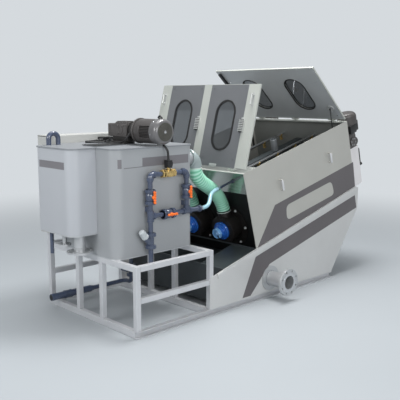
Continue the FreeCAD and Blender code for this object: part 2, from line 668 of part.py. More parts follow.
# Gas struts of the rear lid: tube on the housing wall, rod towards the lid
foot_x = "(origin_x + strut_foot_run * cos(incline) - strut_foot_rise * sin(incline))"
foot_z = "(base_rise + strut_foot_run * sin(incline) + strut_foot_rise * cos(incline))"
lid_turn = "(rear_lid_open - incline)"
eye_x = f"({rear_hinge[0]} - eye_along * cos({lid_turn}) - eye_under * sin({lid_turn}))"
eye_z = f"({rear_hinge[1]} + eye_along * sin({lid_turn}) - eye_under * cos({lid_turn}))"
strut_reach = f"sqrt(({eye_x} - {foot_x}) ^ 2 + ({eye_z} - {foot_z}) ^ 2)"
strut_turn = ((0, -1, 0), f"atan(({foot_x} - {eye_x}) / ({eye_z} - {foot_z}))")
tubes, stems = [], []
for label, side in (("near", -1), ("far", 1)):
    y = f"{side} * strut_plane"
    eye = rod(f"{label}_strut_eye", "strut_radius", "eye_thick", "0", "-eye_thick / 2", "0", "y")
    neck = box(f"{label}_strut_neck", "16", "eye_thick", "20", "-8", "-eye_thick / 2", "0")
    barrel = rod(f"{label}_strut_barrel", "strut_radius", "strut_barrel - 14", "0", "0", "14")
    bore = rod(f"{label}_strut_bore", "stem_radius + 0.5", "strut_barrel - 24", "0", "0", "24")
    tube_item = cut(f"strut_tube_{label}", fuse(f"{label}_strut_body", [eye, neck, barrel]), bore)
    tubes.append(place(tube_item, foot_x, y, foot_z, strut_turn))
    stem = rod(f"{label}_strut_stem", "stem_radius", "strut_stem", "0", "0", f"{strut_reach} - strut_stem")
    top_eye = rod(f"{label}_strut_top_eye", "eye_radius", "eye_thick", "0", "-eye_thick / 2", strut_reach,
                  "y")
    stems.append(place(fuse(f"strut_rod_{label}", [stem, top_eye]), foot_x, y, foot_z, strut_turn))
node(group("strut_tubes", tubes), "strut_tubes")
node(group("strut_rods", stems), "strut_rods")

# Tanks: welded sheet shells with one L-shaped cover
def rounded_box(name, length, width, height, x, y, z, front_radius, rear_radius):
    """A block with its upright edges rounded, the front pair and the rear pair apart."""
    block = box(name + "_block", length, width, height, x, y, z)
    doc.recompute()
    middle = block.Shape.BoundBox.Center.x
    edges = []
    for i, edge in enumerate(block.Shape.Edges, 1):
        if abs(edge.tangentAt(edge.FirstParameter).z) > 0.9:
            radius = front_radius if edge.Vertexes[0].X < middle else rear_radius
            edges.append((i, radius, radius))
    fillet = doc.addObject("Part::Fillet", name)
    fillet.Base = block
    fillet.Edges = [edge for edge in edges if edge[1] > 0]
    return fillet


corner = size["tank_corner"]
back_corner = size["back_corner"]
sheet_wall = size["tank_wall"]
floc_depth = "tank_near + tank_far"
feed_depth = "feed_near + feed_far"
shell_foot = "stand_height + tank_wall"
floc_outer = rounded_box("floc_outer", "tank_length", floc_depth, f"tank_top - ({shell_foot})", "front",
                         "-tank_near", shell_foot, corner, back_corner)
floc_inner = rounded_box("floc_inner", "tank_length - 2 * tank_wall", f"{floc_depth} - 2 * tank_wall",
                         f"tank_top - ({shell_foot})", "front + tank_wall", "-tank_near + tank_wall",
                         shell_foot, corner - sheet_wall, back_corner - sheet_wall)
spigot_ys = ("-spigot_side", "-spigot_side + drum_pitch")
spigots = [rod(f"hose_spigot_{i}", "hose_radius - 4", "44.7", "front + tank_length", y, "spigot_rise", "x")
           for i, y in enumerate(spigot_ys)]
floc_shell = cut("floc_shell", floc_outer, floc_inner)
node(fuse("floc_tank_wall", [floc_shell] + spigots), "floc_tank_wall")
floc_bottom = rounded_box("floc_bottom_sheet", "tank_length", floc_depth, "tank_wall", "front",
                          "-tank_near", "stand_height", corner, back_corner)
feed_foot = "feed_bottom + tank_wall"
feed_outer = rounded_box("feed_outer", "feed_reach", feed_depth, f"tank_top - ({feed_foot})",
                         "front - feed_reach", "-feed_near", feed_foot, corner, 0)
feed_inner = rounded_box("feed_inner", "feed_reach", f"{feed_depth} - 2 * tank_wall",
                         f"tank_top - ({feed_foot})",
                         "front - feed_reach + tank_wall", "-feed_near + tank_wall", feed_foot,
                         corner - sheet_wall, 0)
node(cut("feed_tank_wall", feed_outer, feed_inner), "feed_tank_wall")
feed_bottom_sheet = rounded_box("feed_bottom_sheet", "feed_reach", feed_depth, "tank_wall",
                                "front - feed_reach", "-feed_near", "feed_bottom", corner, 0)
lip = "cover_lip"
floc_cover = rounded_box("floc_cover", f"tank_length + 2 * {lip}", f"{floc_depth} + {lip}", "cover_thick",
                         f"front - {lip}", f"-tank_near - {lip}", "tank_top", corner, back_corner)
feed_cover = rounded_box("feed_cover", f"feed_reach + {lip}", f"{feed_depth} + 2 * {lip}", "cover_thick",
                         f"front - feed_reach - {lip}", f"-feed_near - {lip}", "tank_top", corner, 0)
cover_top = "(tank_top + cover_thick)"
hatch = box("hatch", "300", "190", "8", "front + 30", "-110", cover_top)
node(fuse("tank_cover", [floc_cover, feed_cover, hatch]), "tank_cover")
probe_box = box("probe_box", "120", "90", "42", "front + 425", "335", cover_top)
probe_gland = rod("probe_gland", "13", "40", "front + 485", "300", f"{cover_top} + 21", "y")
node(fuse("level_probe", [probe_box, probe_gland]), "level_probe")

# Mixer gearmotor on the cover, its axis across the machine
mixer_x = "front + mixer_run"
mixer_z = "tank_top + 128"
mixer_base = rod("mixer_base", "105", "18", mixer_x, "180", cover_top)
gear_block = box("mixer_block", "130", "150", "135", f"{mixer_x} - 65", "105", f"{cover_top} + 18")
gear_boss = rod("mixer_boss", "48", "20", mixer_x, "180", f"{cover_top} + 153")
gear_neck = rod("mixer_neck", "60", "120", mixer_x, "-15", mixer_z, "y")
node(fuse("mixer_gearbox", [mixer_base, gear_block, gear_boss, gear_neck]), "mixer_gearbox")
motor_parts = [
    rod("mixer_flange", "96", "20", mixer_x, "-35", mixer_z, "y"),
    rod("mixer_shell", "84", "260", mixer_x, "-295", mixer_z, "y"),
    rod("mixer_fan", "104", "130", mixer_x, "-425", mixer_z, "y"),
    rod("mixer_end", "94", "25", mixer_x, "-450", mixer_z, "y"),
]
node(fuse("mixer_motor", motor_parts), "mixer_motor")

# Control cabinet on the far side
cabinet_y = "stand_half + 5 - cabinet_depth - 10.5"
cabinet_block = box("cabinet_block", "800", "cabinet_depth", "852", "front - 60", cabinet_y,
                    "feed_bottom - 82")
cabinet_door = box("cabinet_door", "770", "10.5", "822", "front - 45", f"{cabinet_y} + cabinet_depth",
                   "feed_bottom - 67")
node(fuse("control_cabinet", [cabinet_block, cabinet_door]), "control_cabinet")

# Dosing pipes on the tank's near face
pipe_y = "-pipe_plane"
left_x = "front + dose_left"
right_x = "front + dose_right"
low_z = "dose_low"
high_z = "dose_high"


left_low = rod("pipe_left_low", "pipe_radius", "140", left_x, pipe_y, "500")
left_mid = rod("pipe_left_mid", "pipe_radius", "left_valve - valve_half - 770", left_x, pipe_y, "770")
low_left = rod("pipe_low_left", "pipe_radius", "low_valve - valve_half - dose_left", left_x, pipe_y,
               low_z, "x")
left_tee = rod("pipe_left_tee", "pipe_radius + 5", "80", left_x, pipe_y, f"{low_z} - 40")
left_branch = rod("pipe_left_branch", "pipe_radius + 5", "45", left_x, pipe_y, low_z, "x")
left_run = fuse("pipe_left_run", [left_mid, low_left, left_tee, left_branch])


def corner_pipe(name, x, z_start, x_end):
    """An upright pipe that turns level at the top."""
    up_x, out_x, start, top = number(x), number(x_end), number(z_start), number(high_z)
    level = -size["pipe_plane"]
    radius = size["pipe_radius"]
    shape = route([(up_x, level, start), (up_x, level, top), (out_x, level, top)], radius, [30])
    pipe = feature(name + "_run", shape)
    away = 1 if out_x > up_x else -1
    socket = feature(name + "_socket", route([(up_x, level, top - 58), (up_x, level, top),
                                              (up_x + away * 58, level, top)], radius + 5, [30]))
    return fuse(name, [pipe, socket])


left_top = corner_pipe("pipe_left_top", left_x, "left_valve + valve_half", "front + low_valve - 45")
right_top = corner_pipe("pipe_right_top", right_x, "right_valve + valve_half", "front + low_valve + 55")
right_mid = rod("pipe_right_mid", "pipe_radius", f"right_valve - valve_half - {low_z}", right_x, pipe_y,
                low_z)
low_right = rod("pipe_low_right", "pipe_radius", "dose_end - low_valve - valve_half",
                "front + low_valve + valve_half", pipe_y, low_z, "x")
right_tee = rod("pipe_right_tee", "pipe_radius + 5", "80", f"{right_x} - 40", pipe_y, low_z, "x")
right_branch = rod("pipe_right_branch", "pipe_radius + 5", "45", right_x, pipe_y, low_z)
right_run = fuse("pipe_right_run", [right_mid, low_right, right_tee, right_branch])
clips = [box(f"pipe_clip_{i}", "24", "pipe_plane - tank_near", "40", f"{x} - 12", pipe_y, z)
         for i, (x, z) in enumerate(((left_x, "940"), (right_x, "950")))]
node(group("dosing_pipes", [left_low, fuse("left_run_held", [left_run, clips[0]]), left_top, right_top,
                            fuse("right_run_held", [right_run, clips[1]])]), "dosing_pipes")


valve_bodies = []


def union_valve(label, x, z, along):
    """Ball valve with a union nut at each end and a stem boss towards the operator."""
    if along == "z":
        ends = [(x, f"{z} - valve_half"), (x, f"{z} + valve_half - 26")]
        core = rod(label + "_core", "27", "2 * valve_half", x, pipe_y, f"{z} - valve_half", along)
    else:
        ends = [(f"{x} - valve_half", z), (f"{x} + valve_half - 26", z)]
        core = rod(label + "_core", "27", "2 * valve_half", f"{x} - valve_half", pipe_y, z, along)
    nuts = [rod(f"{label}_nut_{i}", "34", "26", nx, pipe_y, nz, along) for i, (nx, nz) in enumerate(ends)]
    boss = rod(label + "_boss", "13", "38", x, f"{pipe_y} - 38", z, "y")
    valve_bodies.append(fuse(label, [core, boss] + nuts))
    hub = rod(label + "_hub", "15", "12", x, f"{pipe_y} - 50.3", z, "y")
    size_x, size_z = ("22", "112") if along == "z" else ("112", "22")
    bar = box(label + "_lever", size_x, "16", size_z, f"{x} - {size_x} / 2", f"{pipe_y} - 66",
              f"{z} - {size_z} / 2")
    handle = label.replace("valve", "handle")
    node(fuse(handle, [hub, bar]), handle)


union_valve("valve_left", left_x, "left_valve", "z")
union_valve("valve_right", right_x, "right_valve", "z")
union_valve("valve_low", "front + low_valve", low_z, "x")
solenoid_body = rod("solenoid_body", "27", "100", "front + low_valve - 45", pipe_y, high_z, "x")
solenoid_nuts = [rod(f"solenoid_nut_{i}", "33", "24", f"front + low_valve + {x}", pipe_y, high_z, "x")
                 for i, x in enumerate(("-45", "31"))]
solenoid_neck = rod("solenoid_neck", "16", "45", "front + low_valve + 5", pipe_y, high_z)
node(fuse("solenoid_valve", [solenoid_body, solenoid_neck] + solenoid_nuts), "solenoid_valve")
coil_block = box("coil_block", "44", "50", "62", "front + low_valve - 17", f"{pipe_y} - 25",
                 f"{high_z} + 45")
strainer_core = rod("strainer_core", "27", "130", left_x, pipe_y, "640")
branch_foot = "668"
branch_length = "90"
branch_turn = ((0, -1, 0), "38")
strainer_arm = place(rod("strainer_arm", "25", branch_length, "0", "0", "0"), left_x, pipe_y, branch_foot,
                     branch_turn)
valve_bodies.append(fuse("strainer_body", [strainer_core, strainer_arm]))
drain_x = "front + 740"
drain_y = "drain_side - 95"
drain_core = rod("drain_valve_core", "27", "116", drain_x, drain_y, "drain_rise + 62")
drain_nuts = [rod(f"drain_valve_nut_{i}", "33", "24", drain_x, drain_y, f"drain_rise + {z}")
              for i, z in enumerate(("62", "154"))]
drain_stem = rod("drain_valve_stem", "11", "46", f"{drain_x} - 46", drain_y, "drain_rise + 120", "x")
drain_lever = box("drain_valve_lever", "14", "96", "20", f"{drain_x} - 60", f"{drain_y} - 12",
                  "drain_rise + 110")
drain_bore = rod("drain_valve_bore", "pipe_radius + seat", "116", drain_x, drain_y, "drain_rise + 62")
valve_bodies.append(cut("drain_valve", fuse("drain_valve_body", [drain_core, drain_stem,
                                                                 drain_lever] + drain_nuts),
                        drain_bore))
node(group("valve_bodies", valve_bodies), "valve_bodies")
cup = rod("strainer_cup_blank", "34", "62", "0", "0", "0")
cup = place(cup, f"{left_x} - {branch_length} * sin(38)", pipe_y,
            f"{branch_foot} + {branch_length} * cos(38)", branch_turn)
node(group("strainer_cup", [cup]), "strainer_cup")

# Pipes above and under the tanks
front = number("front")
cover_z = number(cover_top)
u_pipe = feature("u_pipe", route([(front - 135, 330, cover_z), (front - 135, 330, cover_z + 95),
                                  (front - 45, 330, cover_z + 95), (front - 45, 330, cover_z)], 21, [44.5,
                                                                                                     44.5]))


def flanged_stub(label, x, y, radius, length, flange_radius, flange_thick):
    stub = rod(label + "_tube", radius, length, x, y, f"feed_bottom - {length}")
    ring = rod(label + "_ring", flange_radius, flange_thick, x, y, f"feed_bottom - {length}")
    return fuse(label, [stub, ring])


stubs = [flanged_stub("overflow_stub", "front - 112", "-52", "45", "150", "105", "16"),
         flanged_stub("inlet_stub", "front - 140", "125", "19", "110", "53", "12")]
node(group("tank_bottoms", [floc_bottom, fuse("feed_bottom_stubs", [feed_bottom_sheet] + stubs)]),
     "tank_bottoms")
overflow_pipe = rod("overflow_pipe", "16", "200", "front - 170", "277", "feed_bottom - 200")
drain_level = size["drain_rise"]
drain_plane = size["drain_side"]
drain_wide = rod("drain_wide", "31", "410", "front - 80", "drain_side", "drain_rise", "x")
drain_collar = rod("drain_collar", "35", "70", "front + 60", "drain_side", "drain_rise", "x")
drain_path = [(front + 330, drain_plane, drain_level), (front + 740, drain_plane, drain_level),
              (front + 740, drain_plane - 95, drain_level), (front + 740, drain_plane - 95,
                                                             size["stand_height"])]
drain_thin = feature("drain_thin", route(drain_path, size["pipe_radius"], [40, 40]))
drain_pipe = fuse("drain_pipe", [drain_wide, drain_collar, drain_thin])
node(group("tank_pipes", [u_pipe, overflow_pipe, drain_pipe]), "tank_pipes")

# Hoses: two green ones from the tank to the drum heads and a clear one for the wash water
slope = math.radians(size["incline"])


def sloping(run, side, rise):
    """A point given along and square to the slope."""
    x = number("origin_x") + run * math.cos(slope) - rise * math.sin(slope)
    return x, side, size["base_rise"] + run * math.sin(slope) + rise * math.cos(slope)


tank_back = front + size["tank_length"]
spigot_rise = size["spigot_rise"]
hoses = []
for label, side in (("near", 0), ("far", size["drum_pitch"])):
    start_y = side - size["spigot_side"]
    end_y = side - size["drum_pitch"] / 2
    last = sloping(size["port_set"], end_y, size["port_top"] + 0.3)
    bend = sloping(size["port_set"], end_y, size["port_top"] + 166)
    points = [(tank_back + 45, start_y, spigot_rise), (tank_back + 117, start_y, spigot_rise),
              (tank_back + 119, start_y + 8, spigot_rise - 180), bend, last]
    hoses.append(feature(f"green_hose_{label}", route(points, size["hose_radius"], [70, 110, 150])))
node(group("green_hoses", hoses), "green_hoses")
hose_y = -size["pipe_plane"]
hose_low = size["dose_low"]
hose_start = front + size["dose_end"] + 0.3
inlet = sloping(-20, -size["feed_side"], size["feed_rise"])
before_inlet = sloping(-90, -size["feed_side"], size["feed_rise"])
clear_path = [(hose_start, hose_y, hose_low), (hose_start + 55, hose_y, hose_low), before_inlet, inlet]
node(feature("clear_hose", route(clear_path, 17, [120, 120])), "clear_hose")
feed_pipe = rod("spray_feed_run", "11", "bulkhead_set + 20 - 2 * seat", "-20 + seat", "-feed_side",
                "feed_rise", "x")
feed_collar = rod("spray_feed_collar", "19", "14", "bulkhead_set - 14 - seat", "-feed_side", "feed_rise",
                  "x")
node(tilt(fuse("spray_feed_pipe", [feed_pipe, feed_collar])), "spray_feed_pipe")
cable_x = front + size["low_valve"]
coil_top = size["dose_high"] + 104
cable_path = [(cable_x + 5, hose_y, coil_top), (cable_x + 5, hose_y, coil_top + 50),
              (cable_x - 3, hose_y + 5, coil_top + 95), (cable_x - 8, hose_y + 45, coil_top + 123)]
cable = feature("solenoid_cable", route(cable_path, 6, [40, 40]))
node(fuse("solenoid_coil", [coil_block, cable]), "solenoid_coil")

# Filtrate outlet with an eight-hole flange
plate_ring = rod("outlet_pad_ring", "116", "8", "front + outlet_run", "-half - 8", "outlet_rise", "y")
plate_hole = rod("outlet_pad_hole", "outlet_bore + 6", "8", "front + outlet_run", "-half - 8",
                 "outlet_rise", "y")
outlet_pad = cut("outlet_pad", plate_ring, plate_hole)
neck = rod("outlet_neck", "outlet_bore + 5.5", "flange_face - 22 - half + 20", "front + outlet_run",
           "-flange_face + 22", "outlet_rise", "y")
neck_bore = rod("outlet_neck_bore", "outlet_bore", "flange_face - 22 - half + 20", "front + outlet_run",
                "-flange_face + 22", "outlet_rise", "y")
outlet_tube = cut("outlet_tube", neck, neck_bore)
bolt_spots = []
for i in range(8):
    angle = f"{22.5 + 45 * i}"
    bolt_spots.append((f"front + outlet_run + bolt_circle / 2 * cos({angle})",
                       f"outlet_rise + bolt_circle / 2 * sin({angle})", "bolt_hole / 2"))
flange = doc.addObject("PartDesign::Body", "outlet_flange")
flange_sketch = sketch_on(flange, "XZ_Plane", "-flange_face")
circle(flange_sketch, "front + outlet_run", "outlet_rise", "flange_radius")
circle(flange_sketch, "front + outlet_run", "outlet_rise", "outlet_bore")
for spot in bolt_spots:
    circle(flange_sketch, *spot)
pad(flange, flange_sketch, "22")
node(fuse("outlet_pipe", [outlet_tube, outlet_pad, flange]), "outlet_pipe")

doc.recompute()
problems = [item.Name for item in doc.Objects if "Invalid" in item.State or "Error" in item.State]
problems += [item.Label for item in nodes if item.Shape.isNull() or not item.Shape.isValid()]
if problems:
    raise RuntimeError("these pieces failed: " + ", ".join(problems))
for item in nodes:
    item.Shape.exportStep(f"parts/{item.Label}.step")
print(f"{len(nodes)} pieces written")
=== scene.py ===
"""Looks of a multi-disc screw press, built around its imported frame."""
import json
import math
import bmesh
import bpy
from mathutils import Matrix, Vector


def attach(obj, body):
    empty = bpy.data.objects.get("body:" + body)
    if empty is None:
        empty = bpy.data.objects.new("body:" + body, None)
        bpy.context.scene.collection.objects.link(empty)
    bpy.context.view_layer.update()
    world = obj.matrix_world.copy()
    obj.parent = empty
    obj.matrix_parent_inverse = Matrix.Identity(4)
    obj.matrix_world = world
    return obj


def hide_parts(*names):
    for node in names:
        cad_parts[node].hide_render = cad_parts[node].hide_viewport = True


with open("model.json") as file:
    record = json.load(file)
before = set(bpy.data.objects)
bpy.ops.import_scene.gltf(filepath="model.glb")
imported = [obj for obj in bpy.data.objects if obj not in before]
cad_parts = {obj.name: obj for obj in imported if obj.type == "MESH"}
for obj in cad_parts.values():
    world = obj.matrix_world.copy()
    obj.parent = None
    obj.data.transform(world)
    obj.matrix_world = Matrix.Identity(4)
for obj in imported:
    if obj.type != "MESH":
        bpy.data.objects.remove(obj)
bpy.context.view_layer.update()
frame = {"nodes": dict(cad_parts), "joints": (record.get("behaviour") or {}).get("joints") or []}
scene = bpy.context.scene

# The housing's own axes: u up the slope, y across, w square to the slope. All sizes are in metres
INCLINE = math.radians(15)
HOUSING = Matrix.Translation((0.092, 0, 0.496)) @ Matrix.Rotation(-INCLINE, 4, "Y")
HOUSING_LENGTH = 1.622
HOUSING_HEIGHT = 0.722
HALF = 0.6475
LID_LENGTH = 0.776
LID_OUTER = 0.008
WINDOW_ALONG = 0.395
WINDOW_ACROSS = 0.285
WINDOW_HALF = 0.112
DRUM_Y = 0.21
DRUM_W = 0.10
TANK_NEAR = -0.390
TANK_BACK = -0.469
TANK_TOP = 1.449
FRONT = -1.289
PIPE_Y = -0.445
SKIN = 0.0006
RIM = HALF + 0.014
HOOD_REAR = HOUSING_LENGTH + 0.213
DRIVE_U = 1.747
DRIVE_Y = 0.540
# Pipework and mixer on the tank
PIPE_LOW = 0.905
PIPE_HIGH = 1.241
MIXER_X = FRONT + 0.470
MIXER_Z = TANK_TOP + 0.128
COIL_X = FRONT + 0.500
LEFT_X, RIGHT_X, LOW_X = FRONT + 0.310, FRONT + 0.705, FRONT + 0.500
VALVES = (("left", LEFT_X, 1.063), ("right", RIGHT_X, 1.072), ("low", LOW_X, PIPE_LOW))
# Directions, sides and a quarter turn in steps
UP = (0, 0, 1)
ALONG = (1, 0, 0)
SIDES = ((-1, "near"), (1, "far"))
QUARTER = [math.radians(a) for a in range(0, 91, 15)]
joints = {joint["name"]: joint for joint in frame["joints"]}


def hinge_frame(name, turn, flip):
    """Axes of a lid: x along it from the hinge, z out of its outer face."""
    place = Matrix.Translation(joints[name]["pos_m"])
    return place @ Matrix.Rotation(math.radians(turn), 4, "Y") @ Matrix.Diagonal((flip, flip, 1, 1))


FRONT_LID = hinge_frame("front_lid_hinge", -75.4, 1)
REAR_LID = hinge_frame("rear_lid_hinge", 41.2, -1)


# Materials
def linear(rgb):
    """An sRGB colour of 0 to 255 as Blender wants it."""
    parts = [c / 255 for c in rgb]
    return [p / 12.92 if p <= 0.04045 else ((p + 0.055) / 1.055) ** 2.4 for p in parts]


def add_node(tree, kind, **values):
    """A shader node with some of its sockets set."""
    made = tree.nodes.new("ShaderNode" + kind)
    for socket, value in values.items():
        made.inputs[socket.replace("_", " ")].default_value = value
    return made


def finish(name, rgb, rough=0.45, metal=0.0, mottle=0.05, cloud=3.0, grain=(90, 90, 90), relief=0.1,
           spread=0.08, **extra):
    """A surface with soft colour variation, uneven gloss and a fine grain."""
    mat = bpy.data.materials.new(name)
    mat.use_nodes = True
    tree = mat.node_tree
    links = tree.links
    shader = tree.nodes["Principled BSDF"]
    for socket, value in {"Metallic": metal, **extra}.items():
        shader.inputs[socket.replace("_", " ")].default_value = value
    place = add_node(tree, "TexCoord")
    haze = add_node(tree, "TexNoise", Scale=cloud, Detail=5)
    links.new(place.outputs["Object"], haze.inputs["Vector"])
    ramp = add_node(tree, "ValToRGB")
    for stop, position, shade in zip(ramp.color_ramp.elements, (0.3, 0.7), (1 - mottle, 1 + mottle)):
        stop.position = position
        stop.color = [min(1, c * shade) for c in linear(rgb)] + [1]
    links.new(haze.outputs["Fac"], ramp.inputs["Fac"])
    links.new(ramp.outputs["Color"], shader.inputs["Base Color"])
    stretch = add_node(tree, "Mapping", Scale=grain)
    links.new(place.outputs["Object"], stretch.inputs["Vector"])
    fine = add_node(tree, "TexNoise", Scale=4, Detail=3)
    links.new(stretch.outputs["Vector"], fine.inputs["Vector"])
    gloss = add_node(tree, "MapRange", To_Min=max(0.02, rough - spread), To_Max=min(1, rough + spread))
    links.new(fine.outputs["Fac"], gloss.inputs["Value"])
    links.new(gloss.outputs["Result"], shader.inputs["Roughness"])
    bump = add_node(tree, "Bump", Strength=relief, Distance=0.0004)
    links.new(fine.outputs["Fac"], bump.inputs["Height"])
    links.new(bump.outputs["Normal"], shader.inputs["Normal"])
    return mat


def ribbed(name, rgb, groove_shade_rgb, rough):
    """Hose plastic with painted shade in the grooves between its ridges."""
    mat = finish(name, rgb, rough, mottle=0.04, cloud=12, Coat_Weight=0.7, Coat_Roughness=0.12)
    tree = mat.node_tree
    links = tree.links
    shader = tree.nodes["Principled BSDF"]
    ridge = add_node(tree, "Attribute")
    ridge.attribute_name = "ridge"
    # The ridge value is 1 on a crest and 0 in a groove; the grooves take the darker colour as painted shade
    mix = add_node(tree, "Mix")
    mix.data_type = "RGBA"
    mix.inputs["A"].default_value = linear(groove_shade_rgb) + [1]
    links.new(ridge.outputs["Fac"], mix.inputs["Factor"])
    links.new(shader.inputs["Base Color"].links[0].from_socket, mix.inputs["B"])
    links.new(mix.outputs["Result"], shader.inputs["Base Color"])
    return mat


# Grain scales of brushed steel, drawn out along one axis
ALONG_X = (3, 90, 90)
UPRIGHT = (90, 90, 3)
ALONG_Y = (90, 3, 90)
housing_paint = finish("housing_paint", (186, 185, 179), 0.38, 0.4, 0.03, grain=ALONG_X, relief=0.05)
body_paint = finish("body_paint", (206, 206, 205), 0.36, 0.4, 0.03, grain=ALONG_X, relief=0.05)
hood_paint = finish("hood_paint", (228, 225, 226), 0.4, 0.2, 0.03, grain=ALONG_X, relief=0.05)
apron_steel = finish("apron_steel", (200, 206, 202), 0.2, 0.85, 0.03, grain=ALONG_Y, relief=0.04, spread=0.05)
lid_paint = finish("lid_paint", (184, 187, 181), 0.4, 0.3, 0.03, relief=0.05)
panel_paint = finish("panel_paint", (108, 110, 113), 0.35, 0.2, 0.05, relief=0.08)
stripe_paint = finish("stripe_paint", (94, 90, 92), 0.4, 0.0, 0.05, relief=0.08)
inner_paint = finish("inner_paint", (128, 130, 127), 0.45, 0.3, 0.06)
lid_inner = finish("lid_inner", (178, 182, 184), 0.38, 0.3, 0.05, cloud=2)
tank_paint = finish("tank_paint", (152, 155, 158), 0.42, 0.05, 0.025, cloud=2, relief=0.05)
feed_paint = finish("feed_paint", (172, 175, 180), 0.42, 0.05, 0.025, cloud=2, relief=0.05)
cover_paint = finish("cover_paint", (130, 133, 137), 0.42, 0.05, 0.03, cloud=2, relief=0.05)
tank_stripe = finish("tank_stripe", (112, 110, 114), 0.4, 0.0, 0.04, relief=0.05)
frame_steel = finish("frame_steel", (204, 205, 208), 0.34, 0.4, 0.04, cloud=8, relief=0.1)
cabinet_paint = finish("cabinet_paint", (178, 179, 176), 0.45, 0.0, 0.03, grain=(260, 260, 260), relief=0.15)
dark_steel = finish("dark_steel", (24, 25, 26), 0.5, 0.2, 0.15, cloud=9)
head_steel = finish("head_steel", (44, 41, 40), 0.42, 0.4, 0.15, cloud=14)
pan_steel = finish("pan_steel", (66, 72, 74), 0.4, 0.4, 0.12, cloud=5)
bright_steel = finish("bright_steel", (205, 206, 208), 0.2, 0.95, 0.04, grain=UPRIGHT, relief=0.06)
ring_steel = finish("ring_steel", (120, 120, 118), 0.35, 0.8, 0.12, cloud=30, grain=ALONG_X)
blue_paint = finish("blue_paint", (42, 104, 196), 0.24, 0.1, 0.12, cloud=14, Coat_Weight=0.9, Coat_Roughness=0.1)
# The caps' lighter blue boss: partly its own paler plastic, partly a painted highlight
blue_nose_and_highlight = finish("blue_nose_and_highlight", (128, 184, 240), 0.2, 0.1, 0.1, cloud=20, Coat_Weight=0.9, Coat_Roughness=0.08)
rubber = finish("rubber", (20, 20, 21), 0.7, 0.0, 0.2, cloud=40, relief=0.3)
brass = finish("brass", (204, 176, 116), 0.26, 0.85, 0.2, cloud=60)
pvc = finish("pvc", (60, 70, 92), 0.28, 0.0, 0.08, cloud=20, relief=0.12, Coat_Weight=0.8, Coat_Roughness=0.12)
orange = finish("orange", (244, 118, 44), 0.4, 0.0, 0.06, cloud=30, relief=0.15)
# Hose plastics: the second colour is the darker painted shade of the grooves between the ridges
green_hose = ribbed("green_hose", (190, 242, 220), (112, 196, 160), 0.16)
pale_hose = ribbed("pale_hose", (182, 218, 228), (128, 174, 192), 0.16)
grey_hose = ribbed("grey_hose", (184, 194, 196), (150, 162, 162), 0.2)
fitting_paint = finish("fitting_paint", (186, 188, 186), 0.35, 0.4, 0.04, cloud=20)
outlet_steel = finish("outlet_steel", (188, 190, 192), 0.34, 0.6, 0.03, cloud=12, relief=0.06)
wall_steel = finish("wall_steel", (62, 67, 70), 0.45, 0.2, 0.06, cloud=5)
motor_paint = finish("motor_paint", (72, 69, 68), 0.4, 0.1, 0.1, cloud=25, grain=(200, 200, 200), relief=0.3)
motor_cover = finish("motor_cover", (100, 99, 100), 0.3, 0.15, 0.06, cloud=14, relief=0.15, Coat_Weight=0.5,
                     Coat_Roughness=0.2)
pipe_grey = finish("pipe_grey", (150, 154, 158), 0.4, 0.2, 0.06, cloud=12)
motor_dark = finish("motor_dark", (38, 36, 35), 0.5, 0.1, 0.15, cloud=25, relief=0.3)
motor_end = finish("motor_end", (66, 66, 58), 0.5, 0.1, 0.12, cloud=60, grain=(240, 240, 240), relief=0.5)
cast_alloy = finish("cast_alloy", (90, 87, 86), 0.5, 0.3, 0.12, cloud=25, grain=(240, 240, 240), relief=0.5)
black_plastic = finish("black_plastic", (26, 26, 27), 0.42, 0.0, 0.15, cloud=30, relief=0.2)
white_plastic = finish("white_plastic", (214, 216, 216), 0.35, 0.0, 0.04, cloud=30)
cup_plastic = finish("cup_plastic", (178, 184, 187), 0.25, 0.0, 0.08, cloud=50, Coat_Weight=0.5)
glass = finish("window_glass", (150, 153, 156), 0.04, 0.35, 0.05, relief=0.0, spread=0.02, Transmission_Weight=0.95,
               IOR=1.3)

CAD_FINISH = {
    frame_steel: ("skid_rails", "skid_cross_bars", "stand_posts", "stand_side_rails", "stand_cross_rails"),
    body_paint: ("body_near_plate", "body_far_plate", "body_rear_wall"),
    pan_steel: ("body_floor", "front_pan", "centre_beam"),
    housing_paint: ("housing_near_wall", "housing_far_wall"),
    hood_paint: ("rear_hood",),
    apron_steel: ("front_apron",),
    inner_paint: ("housing_rear_wall",),
    dark_steel: ("bulkhead",),
    head_steel: ("drum_heads",),
    lid_paint: ("front_lid", "rear_lid", "hinge_ledges"),
    tank_paint: ("floc_tank_wall",),
    cover_paint: ("tank_cover",),
    feed_paint: ("feed_tank_wall",),
    cabinet_paint: ("control_cabinet",),
    bright_steel: ("screw_shafts", "spray_pipes", "drum_tie_rods"),
    fitting_paint: ("front_lid_fittings",),
    outlet_steel: ("outlet_pipe", "tank_bottoms"),
    wall_steel: ("body_front_wall",),
    ring_steel: ("drum_rings",),
    blue_paint: ("bearing_caps",),
    rubber: ("front_lid_seals", "rear_lid_seals"),
    brass: ("spray_nozzles", "solenoid_valve"),
    pvc: ("dosing_pipes", "valve_bodies", "tank_pipes", "spray_feed_pipe"),
    orange: ("handle_left", "handle_right", "handle_low"),
    green_hose: ("green_hoses",),
    pale_hose: ("clear_hose",),
    motor_paint: ("mixer_motor", "drive_motors"),
    cast_alloy: ("mixer_gearbox", "drive_gearboxes"),
    black_plastic: ("solenoid_coil", "strut_tubes", "strut_rods", "level_probe"),
    cup_plastic: ("strainer_cup",),
    glass: ("front_lid_glass", "rear_lid_glass"),
}
for material, names in CAD_FINISH.items():
    for name in names:
        mesh = frame["nodes"][name].data
        mesh.materials.clear()
        mesh.materials.append(material)

